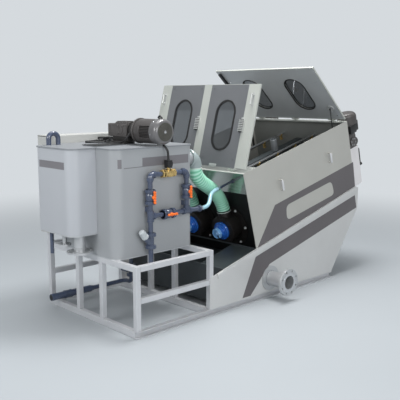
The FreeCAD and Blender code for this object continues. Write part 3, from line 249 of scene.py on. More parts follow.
# Rounded edges on the sheet and tube work catch the light as folded and cast edges do
EDGE_RADIUS = {
    0.004: ("stand_posts", "stand_side_rails", "stand_cross_rails", "tank_cover"),
    0.003: ("skid_cross_bars", "control_cabinet"),
    0.002: ("centre_beam",),
    0.0015: ("skid_rails", "rear_hood"),
    0.001: ("housing_near_wall", "housing_far_wall", "body_near_plate", "body_far_plate", "front_apron", "front_pan",
            "outlet_pipe"),
    0.0008: ("front_lid", "rear_lid"),
}
for name, radius in ((name, radius) for radius, names in EDGE_RADIUS.items() for name in names):
    node = frame["nodes"][name]
    weld = node.modifiers.new("weld", "WELD")
    weld.merge_threshold = 1e-5
    rounding = node.modifiers.new("rounding", "BEVEL")
    rounding.width = radius
    rounding.segments = 2
    rounding.limit_method = "ANGLE"
    rounding.angle_limit = math.radians(38)
    node.data.shade_smooth()
    weighted = node.modifiers.new("weighted", "WEIGHTED_NORMAL")
    weighted.weight = 90
    weighted.thresh = 0.0
    weighted.keep_sharp = True


def put(name, data):
    """A new object in the scene."""
    item = bpy.data.objects.new(name, data)
    scene.collection.objects.link(item)
    return item


# Mesh builders: the add_ functions put one form into a bmesh, and piece shows the whole
def piece(name, bm, material, body="machine", sharp=35):
    """Turn a bmesh into a shown piece that rides on a body."""
    bmesh.ops.recalc_face_normals(bm, faces=bm.faces)
    mesh = bpy.data.meshes.new(name)
    bm.to_mesh(mesh)
    bm.free()
    mesh.materials.append(material)
    mesh.shade_smooth()
    mesh.set_sharp_from_angle(angle=math.radians(sharp))
    item = put(name, mesh)
    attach(item, body)
    return item


def add_box(bm, low, high, at=Matrix.Identity(4), bevel=0.0):
    """A block with softened edges."""
    low, high = Vector(low), Vector(high)
    made = bmesh.ops.create_cube(bm, size=1)["verts"]
    bmesh.ops.scale(bm, vec=high - low, verts=made)
    bmesh.ops.translate(bm, vec=(low + high) / 2, verts=made)
    bmesh.ops.transform(bm, matrix=at, verts=made)
    if bevel:
        edges = list({edge for vert in made for edge in vert.link_edges})
        bmesh.ops.bevel(bm, geom=edges, offset=bevel, segments=2, profile=0.6, affect="EDGES")


def add_turned(bm, profile, at=Matrix.Identity(4), steps=32):
    """A turned form: profile holds radius and height pairs along the z axis."""
    rings = []
    for radius, height in profile:
        if radius < 1e-6:
            rings.append([bm.verts.new(at @ Vector((0, 0, height)))])
            continue
        turns = [2 * math.pi * i / steps for i in range(steps)]
        rings.append([bm.verts.new(at @ Vector((radius * math.cos(a), radius * math.sin(a), height))) for a in turns])
    for low, high in zip(rings, rings[1:]):
        for i in range(steps):
            corners = [low[i % len(low)], low[(i + 1) % len(low)], high[(i + 1) % len(high)], high[i % len(high)]]
            corners = list(dict.fromkeys(corners))
            if len(corners) > 2:
                bm.faces.new(corners)


def add_lathed(bm, profile, at=Matrix.Identity(4), steps=32):
    """A turned form closed at both ends."""
    add_turned(bm, [(0, profile[0][1]), *profile, (0, profile[-1][1])], at, steps)


def band(radius, low, high, drop, chamfer=0.002):
    """The profile of a hoop between two heights, with its edges dropped."""
    return [(radius - drop, low), (radius, low + chamfer), (radius, high - chamfer), (radius - drop, high)]


def curve_mesh(curve):
    """The mesh of a curve, which is then removed."""
    holder = bpy.data.objects.new("outline", curve)
    mesh = bpy.data.meshes.new_from_object(holder)
    bpy.data.objects.remove(holder)
    bpy.data.curves.remove(curve)
    return mesh


def add_plate(bm, outline, low, high, at=Matrix.Identity(4), holes=()):
    """A flat plate of any outline in x and y, with holes, between two heights."""
    curve = bpy.data.curves.new("outline", "CURVE")
    curve.dimensions = "2D"
    curve.fill_mode = "BOTH"
    curve.extrude = (high - low) / 2
    for points in [outline, *holes]:
        spline = curve.splines.new("POLY")
        spline.points.add(len(points) - 1)
        for spot, (x, y) in zip(spline.points, points):
            spot.co = (x, y, 0, 1)
        spline.use_cyclic_u = True
    mesh = curve_mesh(curve)
    mesh.transform(at @ Matrix.Translation((0, 0, (low + high) / 2)))
    bm.from_mesh(mesh)
    bpy.data.meshes.remove(mesh)
    bmesh.ops.remove_doubles(bm, verts=bm.verts, dist=1e-6)


def arc(cx, cy, radius, start, end, steps=10):
    """Points of an arc, angles in degrees."""
    turns = [math.radians(start + (end - start) * i / steps) for i in range(steps + 1)]
    return [(cx + radius * math.cos(a), cy + radius * math.sin(a)) for a in turns]


def stadium(cx, cy, half, radius, steps=14):
    """A slot outline, long along x."""
    return arc(cx + half, cy, radius, -90, 90, steps) + arc(cx - half, cy, radius, 90, 270, steps)


def add_tube(bm, path, radius, steps=20, ridges=None):
    """A round tube along a path; ridges gives each ring's share of the radius and its ridge value."""
    # The ridge value is the mask of the hoses' painted groove shade: 0 in the grooves
    layer = bm.verts.layers.float.get("ridge") or bm.verts.layers.float.new("ridge")
    points = [Vector(point) for point in path]
    side = None
    rings = []
    for i, point in enumerate(points):
        ahead = (points[min(i + 1, len(points) - 1)] - points[max(i - 1, 0)]).normalized()
        if side is None:
            side = ahead.orthogonal().normalized()
        side = (side - ahead * side.dot(ahead)).normalized()
        other = ahead.cross(side)
        share, value = ridges[i] if ridges else (1, 0)
        ring = []
        for j in range(steps):
            a = 2 * math.pi * j / steps
            vert = bm.verts.new(point + (side * math.cos(a) + other * math.sin(a)) * radius * share)
            vert[layer] = value
            ring.append(vert)
        rings.append(ring)
    for low, high in zip(rings, rings[1:]):
        for j in range(steps):
            bm.faces.new((low[j], low[(j + 1) % steps], high[(j + 1) % steps], high[j]))
    bm.faces.new(list(reversed(rings[0])))
    bm.faces.new(rings[-1])


def smooth_path(points, samples=24):
    """Points along a smooth spline of order three that ends at its first and last control points."""
    curve = bpy.data.curves.new("route", "CURVE")
    curve.dimensions = "3D"
    curve.resolution_u = samples
    spline = curve.splines.new("NURBS")
    spline.points.add(len(points) - 1)
    for spot, point in zip(spline.points, points):
        spot.co = (*point, 1)
    spline.order_u = 3
    spline.use_endpoint_u = True
    mesh = curve_mesh(curve)
    path = [vert.co.copy() for vert in mesh.vertices]
    bpy.data.meshes.remove(mesh)
    return path


def even_path(path, step):
    """The same path cut into even steps."""
    even = [path[0]]
    left = step
    for start, end in zip(path, path[1:]):
        run = (end - start).length
        done = 0
        while run - done >= left:
            done += left
            even.append(start.lerp(end, done / run))
            left = step
        left -= run - done
    if (even[-1] - path[-1]).length > step / 4:
        even.append(path[-1])
    return even


def facing(origin, z, x=None):
    """Axes at a point: z as given, x as near as it can be to the one wanted."""
    z = Vector(z).normalized()
    x = Vector(x) if x else z.orthogonal()
    y = z.cross(x).normalized()
    x = y.cross(z)
    return Matrix.Translation(origin) @ Matrix((x, y, z)).transposed().to_4x4()


def spun(at, turn):
    """The same axes turned about their z."""
    return at @ Matrix.Rotation(turn, 4, "Z")


def raised(at, height):
    """The same axes moved along their z."""
    return at @ Matrix.Translation((0, 0, height))


def add_bolt(bm, at, size=0.008, height=0.006):
    """A hexagon head on a washer, its z axis out of the surface."""
    add_lathed(bm, [(size * 1.25, 0), (size * 1.25, 0.0012)], at, 20)
    add_lathed(bm, [(size, 0.001), (size, height * 0.85), (size * 0.85, height)], at, 6)


def bolts(name, places, material=bright_steel, size=0.008, height=0.006):
    """One piece that holds a bolt at each place."""
    bm = bmesh.new()
    for at in places:
        add_bolt(bm, at, size, height)
    piece(name, bm, material)


def turned(name, profile, material, at, steps=48, sharp=35):
    """One piece that is a closed turned form."""
    bm = bmesh.new()
    add_lathed(bm, profile, at, steps)
    return piece(name, bm, material, sharp=sharp)


def ring(at, radius, count, first=0.0):
    """Places of a ring of bolts round an axis."""
    turns = [math.radians(first + 360 * i / count) for i in range(count)]
    return [at @ Matrix.Translation((radius * math.cos(a), radius * math.sin(a), 0)) for a in turns]


def on_slope(u, y, w, z=(-1, 0, 0)):
    """Axes at a point given along, across and square to the slope."""
    return HOUSING @ facing(Vector((u, y, w)), z)


def slope_3d(u, y, w):
    """A point given along, across and square to the slope."""
    return HOUSING @ Vector((u, y, w))


def rounded(points, radius, steps=6):
    """An outline with its corners rounded."""
    out = []
    for i, here in enumerate(points):
        here, before, after = Vector(here), Vector(points[i - 1]), Vector(points[(i + 1) % len(points)])
        start = here + (before - here).normalized() * radius
        end = here + (after - here).normalized() * radius
        for k in range(steps + 1):
            t = k / steps
            out.append(tuple(start * (1 - t) ** 2 + here * 2 * t * (1 - t) + end * t ** 2))
    return out


# Stripes on the side walls follow the slope; the upper one has a bare patch. Their x starts at the tank's front
def wall_plate(name, outline, material, side, holes=()):
    """A thin plate on a side wall, its outline in x and z."""
    bm = bmesh.new()
    at = Matrix.Translation((0, side * (HALF + SKIN / 2), 0)) @ Matrix.Rotation(math.pi / 2, 4, "X")
    add_plate(bm, outline, -SKIN / 2, SKIN / 2, at, holes)
    piece(name, bm, material)


BAND_UPPER = [(1.631, 0.869), (2.899, 1.180), (2.955, 0.912), (1.392, 0.497)]
BAND_LOWER = [(1.371, 0.422), (2.957, 0.823), (2.995, 0.685), (1.568, 0.320), (1.306, 0.070), (1.199, 0.070)]
PATCH = [(1.795, 0.845), (2.520, 1.012), (2.578, 0.872), (1.815, 0.700)]
for side, label in SIDES:
    upper, lower, patch = ([(FRONT + x, z) for x, z in points] for points in (BAND_UPPER, BAND_LOWER, PATCH))
    wall_plate(f"band_upper_{label}", upper, stripe_paint, side, [rounded(patch, 0.055)])
    wall_plate(f"band_lower_{label}", lower, stripe_paint, side)


def lid_covers(prefix, lid, body):
    """Dark panels between the light strips, their bolts, the windows' inner seals and an inner sheet."""
    bm_bolts = bmesh.new()
    for i, (low, high) in enumerate([(-0.514, -0.05), (0.05, 0.512)]):
        window_y = (-1, 1)[i] * WINDOW_ACROSS
        outline = [(0.012, low), (LID_LENGTH - 0.004, low), (LID_LENGTH - 0.004, high), (0.012, high)]
        hole = stadium(WINDOW_ALONG, window_y, WINDOW_HALF, 0.1265)
        bm = bmesh.new()
        add_plate(bm, outline, LID_OUTER, LID_OUTER + 0.0012, lid, [hole])
        piece(f"{prefix}_panel_{i}", bm, panel_paint, body)
        for along, across in ((x, y) for x in (0.745, 0.09) for y in (low + 0.035, high - 0.035)):
            add_bolt(bm_bolts, lid @ Matrix.Translation((along, across, LID_OUTER + 0.001)), 0.006, 0.005)
        seal = bmesh.new()
        rim = stadium(WINDOW_ALONG, window_y, WINDOW_HALF, 0.116, 24)
        path = [lid @ Vector((x, y, -LID_OUTER)) for x, y in rim + rim[:1]]
        add_tube(seal, path, 0.0065, 10)
        piece(f"{prefix}_inner_seal_{i}", seal, rubber, body)
    piece(f"{prefix}_bolts", bm_bolts, panel_paint, body)
    bm = bmesh.new()
    far, side_edge = LID_LENGTH - 0.006, HALF - 0.006
    outline = [(0.020, -side_edge), (far, -side_edge), (far, side_edge), (0.020, side_edge)]
    holes = [stadium(WINDOW_ALONG, side * WINDOW_ACROSS, WINDOW_HALF, 0.119) for side in (-1, 1)]
    add_plate(bm, outline, -0.0078, -0.0068, lid, holes)
    piece(f"{prefix}_inner_sheet", bm, lid_inner, body)


lid_covers("front_lid", FRONT_LID, "front_lid")
lid_covers("rear_lid", REAR_LID, "rear_lid")

# Toothed toggle latches on the front lid
bm = bmesh.new()
for y in (-0.514, 0.052):
    for i in range(7):
        along = 0.345 + i * 0.0155
        add_box(bm, (along, y - 0.024, LID_OUTER + 0.017), (along + 0.0085, y + 0.024, LID_OUTER + 0.026), FRONT_LID,
                0.001)
    for side in (-1, 1):
        low = y + side * 0.024 - 0.003
        add_box(bm, (0.335, low, LID_OUTER), (0.455, low + 0.006, LID_OUTER + 0.014), FRONT_LID, 0.001)
    add_box(bm, (0.452, y - 0.012, LID_OUTER), (0.470, y + 0.012, LID_OUTER + 0.012), FRONT_LID, 0.002)
piece("latch_teeth", bm, fitting_paint, "front_lid")
# Dark plates under the teeth: painted shade in the gaps between them
bm = bmesh.new()
for y in (-0.514, 0.052):
    add_box(bm, (0.337, y - 0.0205, LID_OUTER + 0.010), (0.453, y + 0.0205, LID_OUTER + 0.0185), FRONT_LID, 0.001)
piece("latch_shade_plates", bm, dark_steel, "front_lid")

# Backing plates of the lid's grips, and the bar grips on the side walls
bm = bmesh.new()
for y in (-0.590, 0.590):
    outline = stadium(0.633, y, 0.052, 0.014, 10)
    add_plate(bm, outline, LID_OUTER, LID_OUTER + 0.002, FRONT_LID)
piece("grip_plates", bm, fitting_paint, "front_lid")
bm = bmesh.new()
for side in (-1, 1):
    for u in (0.455, 1.235):
        bar = [(0.398, 0), (0.402, 0.009), (0.410, 0.0125), (0.498, 0.0125), (0.506, 0.009), (0.510, 0)]
        foot = on_slope(u, side * (HALF + 0.0338), 0, UP)
        add_turned(bm, [(radius, height) for height, radius in bar], foot, 20)
piece("wall_grips", bm, frame_steel)

# Hinge leaf on the front lid, and hinge pins with their bolts
bm = bmesh.new()
add_box(bm, (0.006, -0.285, LID_OUTER), (0.036, -0.195, LID_OUTER + 0.003), FRONT_LID, 0.001)
for low in (-0.275, -0.215):
    add_bolt(bm, FRONT_LID @ Matrix.Translation((0.021, low, LID_OUTER + 0.003)), 0.005, 0.004)
piece("hinge_leaf", bm, fitting_paint, "front_lid")
bm = bmesh.new()
for u in (0.033, 1.604):
    for y in (-0.480, 0, 0.480):
        pin = on_slope(u, y - 0.052, HOUSING_HEIGHT + 0.016, (0, 1, 0))
        add_lathed(bm, [(0.0035, 0), (0.0035, 0.104)], pin, 16)
        for side in (-1, 1):
            for run in ((-0.020, 0.020) if u > 1 else (0.022,)):
                add_bolt(bm, on_slope(u + run, y + side * 0.012, HOUSING_HEIGHT, UP), 0.005, 0.004)
piece("hinge_pins", bm, bright_steel)

# Strut eyes on the rear lid, a dark closer and bright studs on its inner face
bm = bmesh.new()
for y in (-0.560, 0.560):
    outer = arc(0.19, y, 0.034, 0, 350, 30)
    add_tube(bm, [REAR_LID @ Vector((x, -z, -0.010)) for x, z in outer], 0.005, 10)
piece("strut_lugs", bm, fitting_paint, "rear_lid")
bm = bmesh.new()
add_box(bm, (0.500, -0.625, -0.030), (0.740, -0.590, -0.008), REAR_LID, 0.004)
piece("lid_closer", bm, black_plastic, "rear_lid")
bm = bmesh.new()
for along, across in ((0.587, 0.588), (0.587, -0.560), (0.08, 0.588)):
    stud = REAR_LID @ Matrix.Translation((along, across, -LID_OUTER)) @ Matrix.Rotation(math.pi, 4, "X")
    add_bolt(bm, stud, 0.006, 0.005)
piece("rear_lid_studs", bm, bright_steel, "rear_lid")


def hose(name, points, radius, pitch, depth, material, node, steps=36):
    """A ridged hose in the place of its plain solid; gives its path back."""
    path = even_path(smooth_path(points, 40), pitch / 6)
    ridges = []
    for i in range(len(path)):
        # wave is 1 on a crest and 0 in a groove, where the hose materials paint shade
        wave = 0.5 + 0.5 * math.cos(2 * math.pi * i / 6)
        ridges.append((1 - depth * (1 - wave), wave))
    bm = bmesh.new()
    add_tube(bm, path, radius, steps, ridges)
    item = piece(name, bm, material, sharp=80)
    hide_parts(node)
    return path


# Green hoses from the tank to the drum heads, with their cuffs and clamps, and the clear hose
PORT_U, PORT_W = 0.097, 0.2723
SLEEVE_SHARE = 0.16
for side, label in SIDES:
    start_y = -0.300 if side < 0 else 0.120
    end_y = side * DRUM_Y
    route = [(TANK_BACK + 0.045, start_y, 1.330), (TANK_BACK + 0.117, start_y, 1.330),
             (TANK_BACK + 0.119, start_y + 0.008, 1.150), slope_3d(PORT_U, end_y, 0.438),
             slope_3d(PORT_U, end_y, PORT_W)]
    path = hose(f"green_hose_{label}", route, 0.0648, 0.028, 0.06, green_hose, "green_hoses")
    sleeve_end = int(len(path) * SLEEVE_SHARE)
    bm = bmesh.new()
    add_tube(bm, path[:sleeve_end], 0.0655, 36)
    piece(f"hose_sleeve_{label}", bm, grey_hose, sharp=80)
    turned(f"hose_collar_{label}", [(0.074, 0.002), (0.078, -0.004), (0.078, -0.020), (0.066, -0.024)], grey_hose,
           facing(path[0], path[0] - path[4]))
    turned(f"hose_rim_{label}", band(0.0672, -0.002, 0.004, 0.0017, 0.001), white_plastic,
           facing(path[sleeve_end], path[sleeve_end] - path[sleeve_end - 4]))
    port = on_slope(PORT_U, end_y, PORT_W, UP)
    turned(f"port_clamp_{label}", band(0.0668, 0.006, 0.015, 0.0016, 0.001), black_plastic, port)
    turned(f"port_rim_{label}", band(0.0675, -0.001, 0.004, 0.0023, 0.001), white_plastic, port)
clear_route = [(-0.4197, PIPE_Y, PIPE_LOW), (-0.355, PIPE_Y, PIPE_LOW), (-0.292, -0.425, 0.930),
               (-0.228, -0.375, 0.995), slope_3d(-0.090, -0.330, 0.564), slope_3d(-0.020, -0.330, 0.564)]
path = hose("clear_hose_tube", clear_route, 0.0175, 0.013, 0.03, pale_hose, "clear_hose", 24)
for i, (here, there) in enumerate(((path[0], path[3]), (path[-1], path[-4]))):
    turned(f"clear_clamp_{i}", band(0.0195, 0.006, 0.018, 0.0015, 0.001), bright_steel, facing(here, there - here), 32)

# Drum heads: bolted flanges, a band and a face at the front, and the stepped blue caps
for side, label in SIDES:
    y = side * DRUM_Y
    face = on_slope(0.162, y, DRUM_W, (-1, 0, 0))
    rise = face.to_3x3().inverted() @ (HOUSING.to_3x3() @ Vector(UP))
    first = math.degrees(math.atan2(rise.y, rise.x))
    places = ring(face, 0.185, 6, first + 30)
    bm = bmesh.new()
    for at in places:
        add_lathed(bm, [(0.019, 0), (0.019, 0.003)], at, 24)
    piece(f"head_washers_{label}", bm, black_plastic)
    bolts(f"head_bolts_{label}", [raised(at, 0.003) for at in places], white_plastic, size=0.010, height=0.012)
    turned(f"head_band_{label}", band(0.1372, 0, 0.014, 0.002), head_steel, on_slope(0.050, y, DRUM_W), 64)
    turned(f"head_face_{label}", [(0.134, 0), (0.134, 0.002), (0.112, 0.004), (0.088, 0.004)], head_steel,
           on_slope(0.035, y, DRUM_W), 64)
    bolts(f"head_face_bolts_{label}", ring(on_slope(0.033, y, DRUM_W), 0.121, 12, first), head_steel, size=0.006)
    cap = on_slope(0.010, y, DRUM_W)
    step = turned(f"cap_step_{label}", [(0.0875, -0.020), (0.0885, -0.004), (0.085, 0.001), (0.070, 0.002),
                                        (0.068, 0.012), (0.058, 0.014), (0.056, 0.020)], blue_paint, cap, 64)
    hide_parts("bearing_caps")
    turned(f"cap_nose_{label}", [(0.0555, 0.018), (0.0555, 0.034), (0.050, 0.040)], blue_paint, cap, 64)
    # The boss takes the lighter blue, partly its own tone and partly painted highlight
    boss = [(0.051, 0.036), (0.0535, 0.040), (0.0535, 0.060), (0.0500, 0.0685), (0.0440, 0.0705), (0.0400, 0.0665),
            (0.0170, 0.0665), (0.0150, 0.0705), (0.0100, 0.0705)]
    turned(f"cap_boss_{label}", boss, blue_nose_and_highlight, cap, 8, sharp=25)
    bolts(f"cap_bolts_{label}", ring(raised(cap, 0.001), 0.0785, 8, first + 22.5), blue_paint, size=0.005)
    bm = bmesh.new()
    add_box(bm, (0.02, -0.004, 0.064), (0.050, 0.004, 0.0712), cap, 0.001)
    piece(f"cap_key_{label}", bm, dark_steel)


def grille(name, at, radii, wire, spokes, low, high):
    """The round wires and the spokes on a fan cover."""
    bm = bmesh.new()
    for radius in radii:
        add_tube(bm, [at @ Vector((x, y, 0)) for x, y in arc(0, 0, radius, 0, 360, 40)], wire, 8)
    for i in range(spokes):
        add_box(bm, low, high, spun(at, 2 * math.pi * i / spokes))
    piece(f"{name}_grille", bm, cast_alloy)


def finned_motor(name, at, core, outer, start, end, cover_end, fins):
    """A motor's cooling fins between two collars, its smooth fan cover and grille."""
    bm = bmesh.new()
    for i in range(fins):
        add_box(bm, (core - 0.004, -0.0026, start), (outer, 0.0026, end), spun(at, 2 * math.pi * i / fins))
    add_lathed(bm, [(core, start), (outer + 0.001, start - 0.001), (outer + 0.001, start - 0.010),
                    (core, start - 0.012)], at, 56)
    piece(f"{name}_fins", bm, motor_paint)
    edge = 0.42 * outer
    rim = [(outer + 0.002 - edge * (1 - math.cos(t)), cover_end - edge * (1 - math.sin(t))) for t in QUARTER]
    turned(f"{name}_cover", [(outer - 0.004, end - 0.004), (outer + 0.002, end - 0.002)] + rim, motor_paint, at, 64,
           sharp=50)
    top = raised(at, cover_end)
    grille(name, top, [outer * (0.22 + 0.13 * i) for i in range(4)], 0.0018, 8, (outer * 0.16, -0.0015, -0.001),
           (outer * 0.64, 0.0015, 0.0015))
    bolts(f"{name}_hub", [top], bright_steel, size=0.012, height=0.004)


# Mixer motor: neck, ring, finned shell between smooth cheeks, fan cover, eye and terminal box
MIXER = facing((MIXER_X, -0.035, MIXER_Z), (0, -1, 0), UP)
turned("mixer_neck", [(0.062, -0.010), (0.068, 0.020), (0.074, 0.070), (0.090, 0.096)], motor_dark, MIXER, 48)
turned("mixer_ring", [(0.100, 0.094), (0.1065, 0.096), (0.1065, 0.110), (0.102, 0.113), (0.096, 0.113), (0.096, 0.120),
                      (0.1005, 0.124), (0.1020, 0.134), (0.1020, 0.188), (0.098, 0.191)], motor_paint, MIXER, 64)
# A dark cylinder under the fins and cheeks: painted shade in the gaps between the fins
core = turned("mixer_fin_gap_shade", [(0.0865, 0.112), (0.0865, 0.404), (0.060, 0.412)], motor_dark, MIXER, 48)
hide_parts("mixer_motor")
bm = bmesh.new()
for first, last in ((-62, 62), (118, 242)):
    shell = arc(0, 0, 0.1015, first, last, 28) + arc(0, 0, 0.084, last, first, 28)
    add_plate(bm, shell, 0.186, 0.332, MIXER)
piece("mixer_shell", bm, motor_paint)
bm = bmesh.new()
for side in (-1, 1):
    for step in range(7):
        add_box(bm, (0.084, -0.0021, 0.186), (0.1010, 0.0021, 0.332),
                spun(MIXER, math.radians(side * (68.4 + 7.2 * step))))
piece("mixer_fins", bm, motor_paint)
turned("mixer_cover", [(0.100, 0.326), (0.1045, 0.328), (0.1055, 0.334), (0.1055, 0.378), (0.1035, 0.393),
                       (0.0975, 0.405), (0.0885, 0.4125), (0.078, 0.4155), (0.074, 0.4150)], motor_cover, MIXER, 64,
       sharp=50)
turned("mixer_end", [(0.075, 0.4140), (0.075, 0.4158), (0.0725, 0.4162)], motor_end, MIXER, 64)
mixer_top = raised(MIXER, 0.4162)
grille("mixer", mixer_top, (0.022, 0.035, 0.048, 0.061), 0.0016, 6, (0.016, -0.0013, -0.001), (0.066, 0.0013, 0.0012))
bolts("mixer_hub", [mixer_top], bright_steel, size=0.010, height=0.004)
OUTWARD = Matrix.Rotation(math.pi / 2, 4, "Y")
screw_spots = [spun(MIXER, math.radians(a)) @ Matrix.Translation((0.1055, 0, 0.345)) @ OUTWARD
               for a in range(40, 341, 60)]
bolts("mixer_cover_screws", screw_spots, size=0.005, height=0.003)
bm = bmesh.new()
add_tube(bm, [MIXER @ Vector((0.104 + x, 0, 0.352 + z)) for x, z in arc(0, 0, 0.021, -70, 250, 24)], 0.0085, 12)
add_lathed(bm, [(0.012, 0.100), (0.010, 0.106), (0.007, 0.108)], raised(MIXER, 0.345) @ OUTWARD, 20)
piece("mixer_eye", bm, black_plastic)
bm = bmesh.new()
add_box(bm, (-0.040, -0.138, 0.205), (0.060, -0.096, 0.310), MIXER, 0.006)
piece("mixer_terminal_box", bm, motor_paint)

# Mixer gearbox: base disc and block, and a case with bearing covers, ribs and bolts
mx = MIXER_X
bm = bmesh.new()
add_lathed(bm, [(0.104, 0), (0.105, 0.003), (0.105, 0.014), (0.100, 0.018)], facing((mx, 0.115, 1.4655), UP), 56)
add_box(bm, (mx - 0.055, -0.030, 1.482), (mx + 0.055, 0.190, 1.524), bevel=0.008)
add_lathed(bm, [(0.060, 0), (0.072, 0.026)], facing((mx, -0.020, MIXER_Z), (0, -1, 0), UP), 48)
piece("mixer_base", bm, motor_dark)
bm = bmesh.new()
add_box(bm, (mx - 0.066, -0.024, 1.520), (mx + 0.066, 0.228, 1.632), bevel=0.007)
add_box(bm, (mx - 0.060, -0.018, 1.630), (mx + 0.060, 0.140, 1.641), bevel=0.003)
for low, high in ((0.020, 0.075), (0.090, 0.132)):
    add_box(bm, (mx - 0.046, low, 1.640), (mx + 0.046, high, 1.653), bevel=0.004)
for z in (1.534, 1.618):
    add_box(bm, (mx - 0.070, -0.020, z - 0.004), (mx + 0.070, 0.224, z + 0.004), bevel=0.002)
add_box(bm, (mx - 0.071, 0.214, 1.522), (mx + 0.071, 0.232, 1.630), bevel=0.004)
side_cover = facing((mx - 0.064, 0.060, MIXER_Z), (-1, 0, 0), UP)
add_lathed(bm, [(0.034, 0), (0.034, 0.006), (0.028, 0.008), (0.026, 0.005), (0.012, 0.005)], side_cover, 40)
back_cover = facing((mx, 0.231, MIXER_Z), (0, 1, 0), UP)
add_lathed(bm, [(0.048, 0), (0.048, 0.012), (0.040, 0.016), (0.014, 0.016)], back_cover, 40)
case = piece("mixer_case", bm, cast_alloy)
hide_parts("mixer_gearbox")
top_spots = [facing((mx + x, y, 1.6405), UP) for x in (-0.052, 0.052) for y in (-0.008, 0.048, 0.130)]
side_spots = ring(raised(side_cover, 0.004), 0.050, 4, 45)
back_spots = ring(raised(back_cover, 0.012), 0.044, 6)
base_spots = ring(facing((mx, 0.115, 1.482), UP), 0.090, 8, 22.5)
bolts("gearbox_bolts", top_spots + side_spots + back_spots + base_spots, cast_alloy, size=0.006, height=0.007)

# Dark hatch plate and cables on the tank's cover, and the solenoid valve with its plug
bm = bmesh.new()
add_box(bm, (FRONT + 0.026, -0.114, TANK_TOP + 0.0195), (FRONT + 0.334, 0.084, TANK_TOP + 0.0225), bevel=0.001)
piece("hatch_plate", bm, dark_steel)
hatch_spots = [facing((FRONT + x, y, TANK_TOP + 0.0225), UP) for x in (0.045, 0.18, 0.315) for y in (-0.095, 0.065)]
bolts("hatch_bolts", hatch_spots, cast_alloy, size=0.005, height=0.004)
bm = bmesh.new()
lead = [(FRONT + 0.485, 0.300, 1.482), (FRONT + 0.470, 0.270, 1.478), (FRONT + 0.38, 0.235, 1.471),
        (FRONT + 0.30, 0.265, 1.470), (FRONT + 0.22, 0.310, 1.470), (FRONT + 0.25, 0.365, 1.471),
        (FRONT + 0.34, 0.352, 1.478), (FRONT + 0.43, 0.345, 1.481)]
add_tube(bm, smooth_path(lead, 10), 0.008, 12)
lead = [(mx - 0.10, -0.120, 1.565), (mx - 0.13, -0.100, 1.500), (mx - 0.14, -0.02, 1.470), (mx - 0.14, 0.10, 1.470),
        (mx - 0.10, 0.23, 1.470), (mx - 0.03, 0.31, 1.475), (mx + 0.02, 0.335, 1.480)]
add_tube(bm, smooth_path(lead, 10), 0.0075, 12)
piece("cover_cables", bm, black_plastic)
bm = bmesh.new()
add_box(bm, (COIL_X - 0.018, PIPE_Y - 0.0265, 1.292), (COIL_X + 0.028, PIPE_Y + 0.026, 1.334), bevel=0.005)
add_lathed(bm, [(0.013, 0), (0.013, 0.012), (0.009, 0.020)], facing((COIL_X + 0.005, PIPE_Y, 1.345), UP), 6)
add_box(bm, (COIL_X + 0.026, PIPE_Y - 0.016, 1.300), (COIL_X + 0.042, PIPE_Y + 0.016, 1.332), bevel=0.003)
lead = [(COIL_X + 0.005, PIPE_Y, 1.352), (COIL_X + 0.005, PIPE_Y, 1.400), (COIL_X - 0.003, PIPE_Y + 0.005, 1.440),
        (COIL_X - 0.008, PIPE_Y + 0.045, 1.468)]
add_tube(bm, smooth_path(lead, 12), 0.0095, 16)
piece("solenoid_plug", bm, black_plastic)
bm = bmesh.new()
for x in (-0.062, -0.036, 0.040, 0.062):
    add_lathed(bm, band(0.0355, 0, 0.017, 0.0025, 0.003),
               facing((COIL_X + x - 0.008, PIPE_Y, PIPE_HIGH), ALONG), 6)
add_box(bm, (COIL_X - 0.022, PIPE_Y - 0.033, 1.212), (COIL_X + 0.032, PIPE_Y + 0.033, 1.262), bevel=0.006)
for x in (-0.014, 0.024):
    for y in (-0.024, 0.024):
        add_bolt(bm, facing((COIL_X + x, PIPE_Y + y, 1.262), UP), 0.006, 0.008)
piece("solenoid_casting", bm, brass)


def union_nut(bm, at, radius=0.0420, length=0.030):
    """A ribbed nut round a pipe that runs along z."""
    add_lathed(bm, band(radius, -length / 2, length / 2, 0.003), at, 32)
    for i in range(12):
        add_box(bm, (radius - 0.001, -0.003, -length * 0.42), (radius + 0.002, 0.003, length * 0.42),
                spun(at, math.pi * i / 6))


# Union nuts, valve barrels and sockets on the PVC pipes, and the lobed orange handles
ELBOW = 0.036
bm = bmesh.new()
for name, x, z in VALVES:
    axis = ALONG if name == "low" else UP
    for run in (-0.047, 0.047):
        place = (x + run, PIPE_Y, z) if name == "low" else (x, PIPE_Y, z + run)
        union_nut(bm, facing(place, axis))
    add_lathed(bm, [(0.029, -0.036), (0.037, -0.026), (0.039, 0), (0.037, 0.026), (0.029, 0.036)],
               facing((x, PIPE_Y, z), axis), 32)
for place in ((LEFT_X, PIPE_Y, 0.655), (LEFT_X, PIPE_Y, 0.755), (FRONT + 0.740, 0.380, 0.174),
              (FRONT + 0.740, 0.380, 0.266)):
    union_nut(bm, facing(place, UP))
for x, z, axis in ((LEFT_X, PIPE_HIGH - ELBOW, UP), (RIGHT_X, PIPE_HIGH - ELBOW, UP),
                   (LEFT_X + ELBOW, PIPE_HIGH, ALONG), (RIGHT_X - ELBOW, PIPE_HIGH, ALONG),
                   (LEFT_X, PIPE_LOW + ELBOW, UP), (LEFT_X, PIPE_LOW - ELBOW, UP), (LEFT_X + ELBOW, PIPE_LOW, ALONG),
                   (RIGHT_X, PIPE_LOW + ELBOW, UP), (RIGHT_X - ELBOW, PIPE_LOW, ALONG),
                   (RIGHT_X + ELBOW, PIPE_LOW, ALONG), (FRONT + 0.852, PIPE_LOW, ALONG)):
    add_lathed(bm, band(0.0295, -0.011, 0.011, 0.006), facing((x, PIPE_Y, z), axis), 28)
piece("pipe_nuts", bm, pvc)
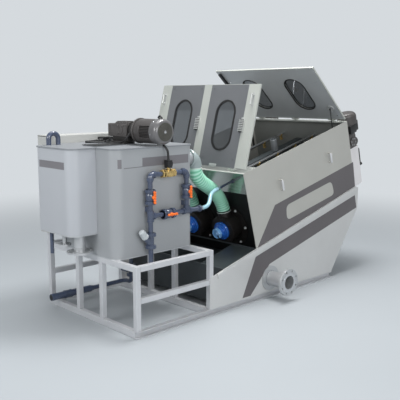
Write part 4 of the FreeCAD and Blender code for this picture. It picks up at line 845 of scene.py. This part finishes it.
for name, x, z in VALVES:
    at = facing((x, PIPE_Y - 0.060, z), (0, -1, 0), ALONG if name == "low" else UP)
    bm = bmesh.new()
    add_lathed(bm, [(0.014, -0.0217), (0.015, -0.019), (0.015, -0.008), (0.012, -0.005)], at, 24)
    add_box(bm, (-0.046, -0.0070, -0.010), (0.046, 0.0070, 0.004), at, 0.003)
    for i in range(5):
        add_lathed(bm, [(0.0080, -0.010), (0.0098, -0.007), (0.0098, 0.005), (0.0080, 0.008)],
                   at @ Matrix.Translation((-0.042 + i * 0.021, 0, 0)), 20)
    lever = piece(f"handle_{name}_lobes", bm, orange, f"handle_{name}")
    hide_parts(f"handle_{name}")
    # Black blocks between the lobes: painted shade in the gaps
    bm = bmesh.new()
    for along in (-0.0315, -0.0105, 0.0105, 0.0315):
        add_box(bm, (along - 0.0035, -0.0084, -0.004), (along + 0.0035, -0.0062, 0.0045), at, 0.0008)
    piece(f"handle_{name}_lobe_shade", bm, black_plastic, f"handle_{name}")

# Strainer cup with its nut and ribs
STRAINER_LEAN = math.radians(38)
arm = facing((LEFT_X, PIPE_Y, 0.668), (-math.sin(STRAINER_LEAN), 0, math.cos(STRAINER_LEAN)))
bm = bmesh.new()
add_lathed(bm, [(0.0235, 0.084), (0.0305, 0.087), (0.0315, 0.092), (0.0315, 0.103), (0.0275, 0.107),
                (0.0270, 0.149), (0.0250, 0.156), (0.0160, 0.160)], arm, 40)
for i in range(12):
    add_box(bm, (0.026, -0.0018, 0.110), (0.0292, 0.0018, 0.146), spun(arm, math.pi * i / 6), 0.0006)
cup = piece("strainer_cap", bm, cup_plastic)
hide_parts("strainer_cup")

# Tank stripes, and the stub flanges' bolts
bm = bmesh.new()
at = Matrix.Translation((0, TANK_NEAR - SKIN / 2, 0)) @ Matrix.Rotation(math.pi / 2, 4, "X")
add_plate(bm, [(-1.010, 1.304), (-0.512, 1.306), (-0.512, 1.379), (-1.010, 1.377)], -SKIN / 2, SKIN / 2, at)
add_plate(bm, [(-1.196, 1.301), (-1.010, 1.303), (-1.010, 1.309), (-1.196, 1.307)], -SKIN / 2, SKIN / 2, at)
piece("tank_band", bm, tank_stripe)
bm = bmesh.new()
corner = [(-1.199 + 0.0902 * math.cos(a), -0.300 + 0.0902 * math.sin(a)) for a in
          (math.radians(d) for d in range(238, 261, 3))]
for low, high in zip(corner, corner[1:]):
    bm.faces.new([bm.verts.new((*p, z)) for p, z in ((low, 1.304), (high, 1.304), (high, 1.375), (low, 1.375))])
piece("tank_band_block", bm, tank_stripe)
bm = bmesh.new()
add_box(bm, (FRONT - 0.240 - SKIN, -0.060, 1.292), (FRONT - 0.240, 0.312, 1.350))
piece("feed_band", bm, tank_stripe)
stub_spots = ring(facing((FRONT - 0.112, -0.052, 0.623), UP), 0.090, 8, 22.5)
stub_spots += ring(facing((FRONT - 0.140, 0.125, 0.659), UP), 0.043, 4)
bolts("stub_bolts", stub_spots, outlet_steel, size=0.005, height=0.005)
turned("stub_collar", band(0.0495, 0, 0.014, 0.003), outlet_steel, facing((FRONT - 0.112, -0.052, 0.640), UP))

# Drain pipe: coupling bands, and a dark disc in the open end as painted shade of its bore
DRAIN = (FRONT, 0.475, 0.100)
drain = facing(DRAIN, ALONG)
bm = bmesh.new()
for x, radius, width in ((0.062, 0.0365, 0.014), (0.120, 0.0365, 0.014), (0.330, 0.0225, 0.030),
                         (-0.060, 0.0325, 0.012)):
    add_lathed(bm, band(radius, x - width / 2, x + width / 2, 0.002, 0.001), drain, 36)
add_lathed(bm, [(0.0311, 0.330), (0.0205, 0.372)], drain, 36)
piece("drain_bands", bm, pvc)
turned("drain_bore_shade", [(0.025, 0.080), (0.025, 0.0808)], dark_steel, facing(DRAIN, (-1, 0, 0)), 36)

# Outlet flange: raised face, and the weld beads at both ends of its pipe
OUTLET = facing((FRONT + 1.579, -0.875, 0.186), (0, -1, 0), UP)
bm = bmesh.new()
add_turned(bm, [(0.0625, -0.001), (0.0625, 0.0003), (0.090, 0.0003), (0.091, -0.001)], OUTLET, 64)
for depth in (-0.024, -0.215):
    add_turned(bm, band(0.0715, depth - 0.004, depth + 0.003, 0.004), OUTLET, 48)
piece("outlet_face", bm, bright_steel)

# Body: bright lines on its top rims, and the rims' bolts
bm = bmesh.new()
for side in (-1, 1):
    y = side * RIM
    add_box(bm, (-0.47, min(y, y - side * 0.002), -0.0015), (1.60, max(y, y - side * 0.002), 0.0015), HOUSING, 0.0006)
piece("rim_lines", bm, bright_steel)
bm = bmesh.new()
for u in (-0.33, -0.02, 0.30, 0.62, 0.94, 1.26, 1.54):
    for side in (-1, 1):
        add_bolt(bm, on_slope(u, side * RIM, -0.022, (0, side, 0)), 0.007, 0.006)
piece("rim_bolts", bm, body_paint)

# Lips round the pan: at the housing's foot, on the front wall and along the trough
bm = bmesh.new()
add_box(bm, (-0.004, -0.6425, -0.012), (0.004, 0.6425, 0.001), HOUSING, 0.001)
add_box(bm, (-0.338, -0.6425, 0.376), (-0.326, 0.6425, 0.386), bevel=0.001)
for y in (-0.3425, 0.3425):
    add_box(bm, (-0.430, y - 0.004, -0.012), (-0.006, y + 0.004, -0.008), HOUSING, 0.0008)
for y in (-0.6405, 0.6405):
    add_box(bm, (-0.430, y - 0.002, -0.010), (0.0, y + 0.002, 0.001), HOUSING, 0.0006)
piece("pan_lips", bm, wall_steel)

# Drive motors behind the hood: fins, dome and terminal box, and the gearboxes' bulges, covers and bolts
for side, label in SIDES:
    y = side * DRIVE_Y
    finned_motor(f"drive_{label}", on_slope(DRIVE_U, y, 0.520, UP), 0.066, 0.082, 0.030, 0.130, 0.150, 30)
    edge = [(0.100 - 0.045 * (1 - math.cos(t)), 0.078 + 0.045 * math.sin(t)) for t in QUARTER]
    turned(f"drive_dome_{label}", [(0.092, 0), (0.100, 0.004)] + edge, motor_paint, on_slope(1.775, y, 0.642, UP), 56,
           sharp=50)
    bm = bmesh.new()
    add_box(bm, (1.700, y - 0.086, 0.548), (1.812, y + 0.086, 0.640), HOUSING, 0.010)
    add_box(bm, (1.800, y - 0.050, 0.545), (1.900, y + 0.050, 0.655), HOUSING, 0.010)
    piece(f"drive_terminal_{label}", bm, black_plastic)
    for i, (w, size, reach) in enumerate(((0.508, 0.036, 0.048), (0.432, 0.052, 0.066))):
        turned(f"drive_bulge_{label}_{i}", [(size, -0.02), (size + 0.002, 0.6 * reach), (size - 0.008, 0.9 * reach),
                                            (size * 0.5, reach)], cast_alloy, on_slope(1.812, y, w, ALONG), 40)
    face = raised(on_slope(DRIVE_U, y, 0.455, (0, side, 0)), 0.060)
    turned(f"drive_cover_{label}", [(0.045, 0), (0.045, 0.010), (0.030, 0.014), (0.012, 0.014)], cast_alloy, face)
    bolts(f"drive_cover_bolts_{label}", ring(raised(face, 0.010), 0.036, 6), size=0.006)
    flange = on_slope(DRIVE_U, y, 0.534, UP)
    bolts(f"drive_flange_bolts_{label}", ring(flange, 0.070, 8, 22.5), cast_alloy, size=0.005)

# Dark sleeve on the hood's handle
bm = bmesh.new()
stem = [(0.006, 0.342), (0.028, 0.342), (0.0375, 0.333), (0.038, 0.160)]
add_tube(bm, [slope_3d(HOOD_REAR + u, -0.570, w) for u, w in stem], 0.0150, 24)
add_tube(bm, [slope_3d(HOOD_REAR + u, -0.570, 0.160) for u in (0.024, 0.0662)], 0.0155, 24)
piece("hood_handle_sleeve", bm, black_plastic)

# Cabinet: a drip edge on top, hinges and locks on its door side
CABINET_DOOR = 0.6475
bm = bmesh.new()
add_box(bm, (FRONT - 0.060, 0.452, 1.516), (FRONT + 0.740, 0.640, 1.530), bevel=0.003)
for z in (0.80, 1.10, 1.40):
    add_lathed(bm, [(0.007, 0), (0.007, 0.05)], facing((FRONT + 0.727, 0.642, z), UP), 16)
piece("cabinet_trim", bm, cabinet_paint)
bm = bmesh.new()
for z in (0.86, 1.32):
    lock = facing((FRONT + 0.005, CABINET_DOOR - 0.002, z), (0, 1, 0), UP)
    add_lathed(bm, [(0.015, 0), (0.015, 0.003), (0.011, 0.005), (0.011, 0.007), (0.006, 0.0075)], lock, 32)
    add_box(bm, (-0.006, -0.0012, 0.006), (0.006, 0.0012, 0.0085), lock, 0.0004)
piece("cabinet_locks", bm, black_plastic)

# Spray nozzles' nuts and collars, and the standpipe's sleeve with its open top
bm = bmesh.new()
for side in (-1, 1):
    for i in range(5):
        at = on_slope(0.385 + i * 0.295, side * DRUM_Y, 0.501, UP)
        add_lathed(bm, band(0.020, 0.044, 0.063, 0.004, 0.003), at, 6)
        add_lathed(bm, [(0.0165, -0.003), (0.019, 0.000), (0.019, 0.010), (0.0165, 0.012)], at, 24)
piece("nozzle_nuts", bm, brass)
bm = bmesh.new()
at = on_slope(1.190, 0, 0.630, UP)
add_turned(bm, [(0.0325, -0.016), (0.0365, -0.014), (0.0365, 0.001), (0.029, 0.0015), (0.0285, -0.010)], at, 40)
add_turned(bm, [(0.0325, -0.122), (0.0338, -0.120), (0.0338, -0.016)], at, 40)
piece("standpipe_lip", bm, pipe_grey)


# Camera where the photo was taken, a plain floor and soft studio light
CAMERA_PLACE = (-4.2565, -4.4347, 1.8622)
CAMERA_PITCH = 80.916
CAMERA_YAW = -43.84
BACKDROP = (213, 218, 222)
camera_data = bpy.data.cameras.new("camera")
camera_data.lens = 58.38
camera_data.sensor_width = 36
camera = put("camera", camera_data)
camera.location = CAMERA_PLACE
camera.rotation_euler = (math.radians(CAMERA_PITCH), 0, math.radians(CAMERA_YAW))
scene.camera = camera

# Far from the machine the floor fades into the backdrop
floor_mat = finish("floor", (164, 169, 173), 0.6, 0.0, 0.01, cloud=1, relief=0.0)
tree = floor_mat.node_tree
links = tree.links
spot = add_node(tree, "TexCoord")
far = add_node(tree, "VectorMath")
far.operation = "LENGTH"
links.new(spot.outputs["Object"], far.inputs[0])
fade = add_node(tree, "MapRange", From_Min=2.4, From_Max=7.5)
fade.interpolation_type = "SMOOTHSTEP"
links.new(far.outputs["Value"], fade.inputs["Value"])
glow = add_node(tree, "Emission", Color=linear(BACKDROP) + [1])
blend = add_node(tree, "MixShader")
links.new(fade.outputs["Result"], blend.inputs["Fac"])
links.new(tree.nodes["Principled BSDF"].outputs["BSDF"], blend.inputs[1])
links.new(glow.outputs["Emission"], blend.inputs[2])
links.new(blend.outputs["Shader"], tree.nodes["Material Output"].inputs["Surface"])
bm = bmesh.new()
bmesh.ops.create_grid(bm, x_segments=1, y_segments=1, size=60)
floor_mesh = bpy.data.meshes.new("floor")
bm.to_mesh(floor_mesh)
bm.free()
floor_mesh.materials.append(floor_mat)
floor = put("floor", floor_mesh)

world = bpy.data.worlds.new("studio")
scene.world = world
world.use_nodes = True
tree = world.node_tree
links = tree.links
ground = tree.nodes["Background"]
ground.inputs["Color"].default_value = linear((232, 238, 242)) + [1]
ground.inputs["Strength"].default_value = 0.45
seen = add_node(tree, "Background", Color=linear(BACKDROP) + [1])
rays = add_node(tree, "LightPath")
mix = add_node(tree, "MixShader")
links.new(rays.outputs["Is Camera Ray"], mix.inputs["Fac"])
links.new(ground.outputs["Background"], mix.inputs[1])
links.new(seen.outputs["Background"], mix.inputs[2])
links.new(mix.outputs["Shader"], tree.nodes["World Output"].inputs["Surface"])


def lamp(name, place, target, size, power):
    """A round soft light that points at a target."""
    data = bpy.data.lights.new(name, "AREA")
    data.shape = "DISK"
    data.size = size
    data.energy = power
    item = put(name, data)
    item.location = place
    item.rotation_euler = (Vector(target) - Vector(place)).to_track_quat("-Z", "Y").to_euler()


lamp("key", (-2.0, -7.5, 3.0), (0, 0, 0.9), 3.5, 165)
lamp("side", (-6.5, -0.5, 3.6), (-0.5, 0, 0.9), 3.0, 165)
lamp("top", (0.2, 0.3, 9.0), (0, 0, 0.4), 8.0, 430)
lamp("inside", (0.3, -0.6, 5.0), (0.7, 0, 0.8), 1.6, 165)
lamp("fill", (-3.6, -4.6, 3.2), (0.1, -0.2, 0.7), 1.2, 40)
scene.view_settings.view_transform = "Standard"
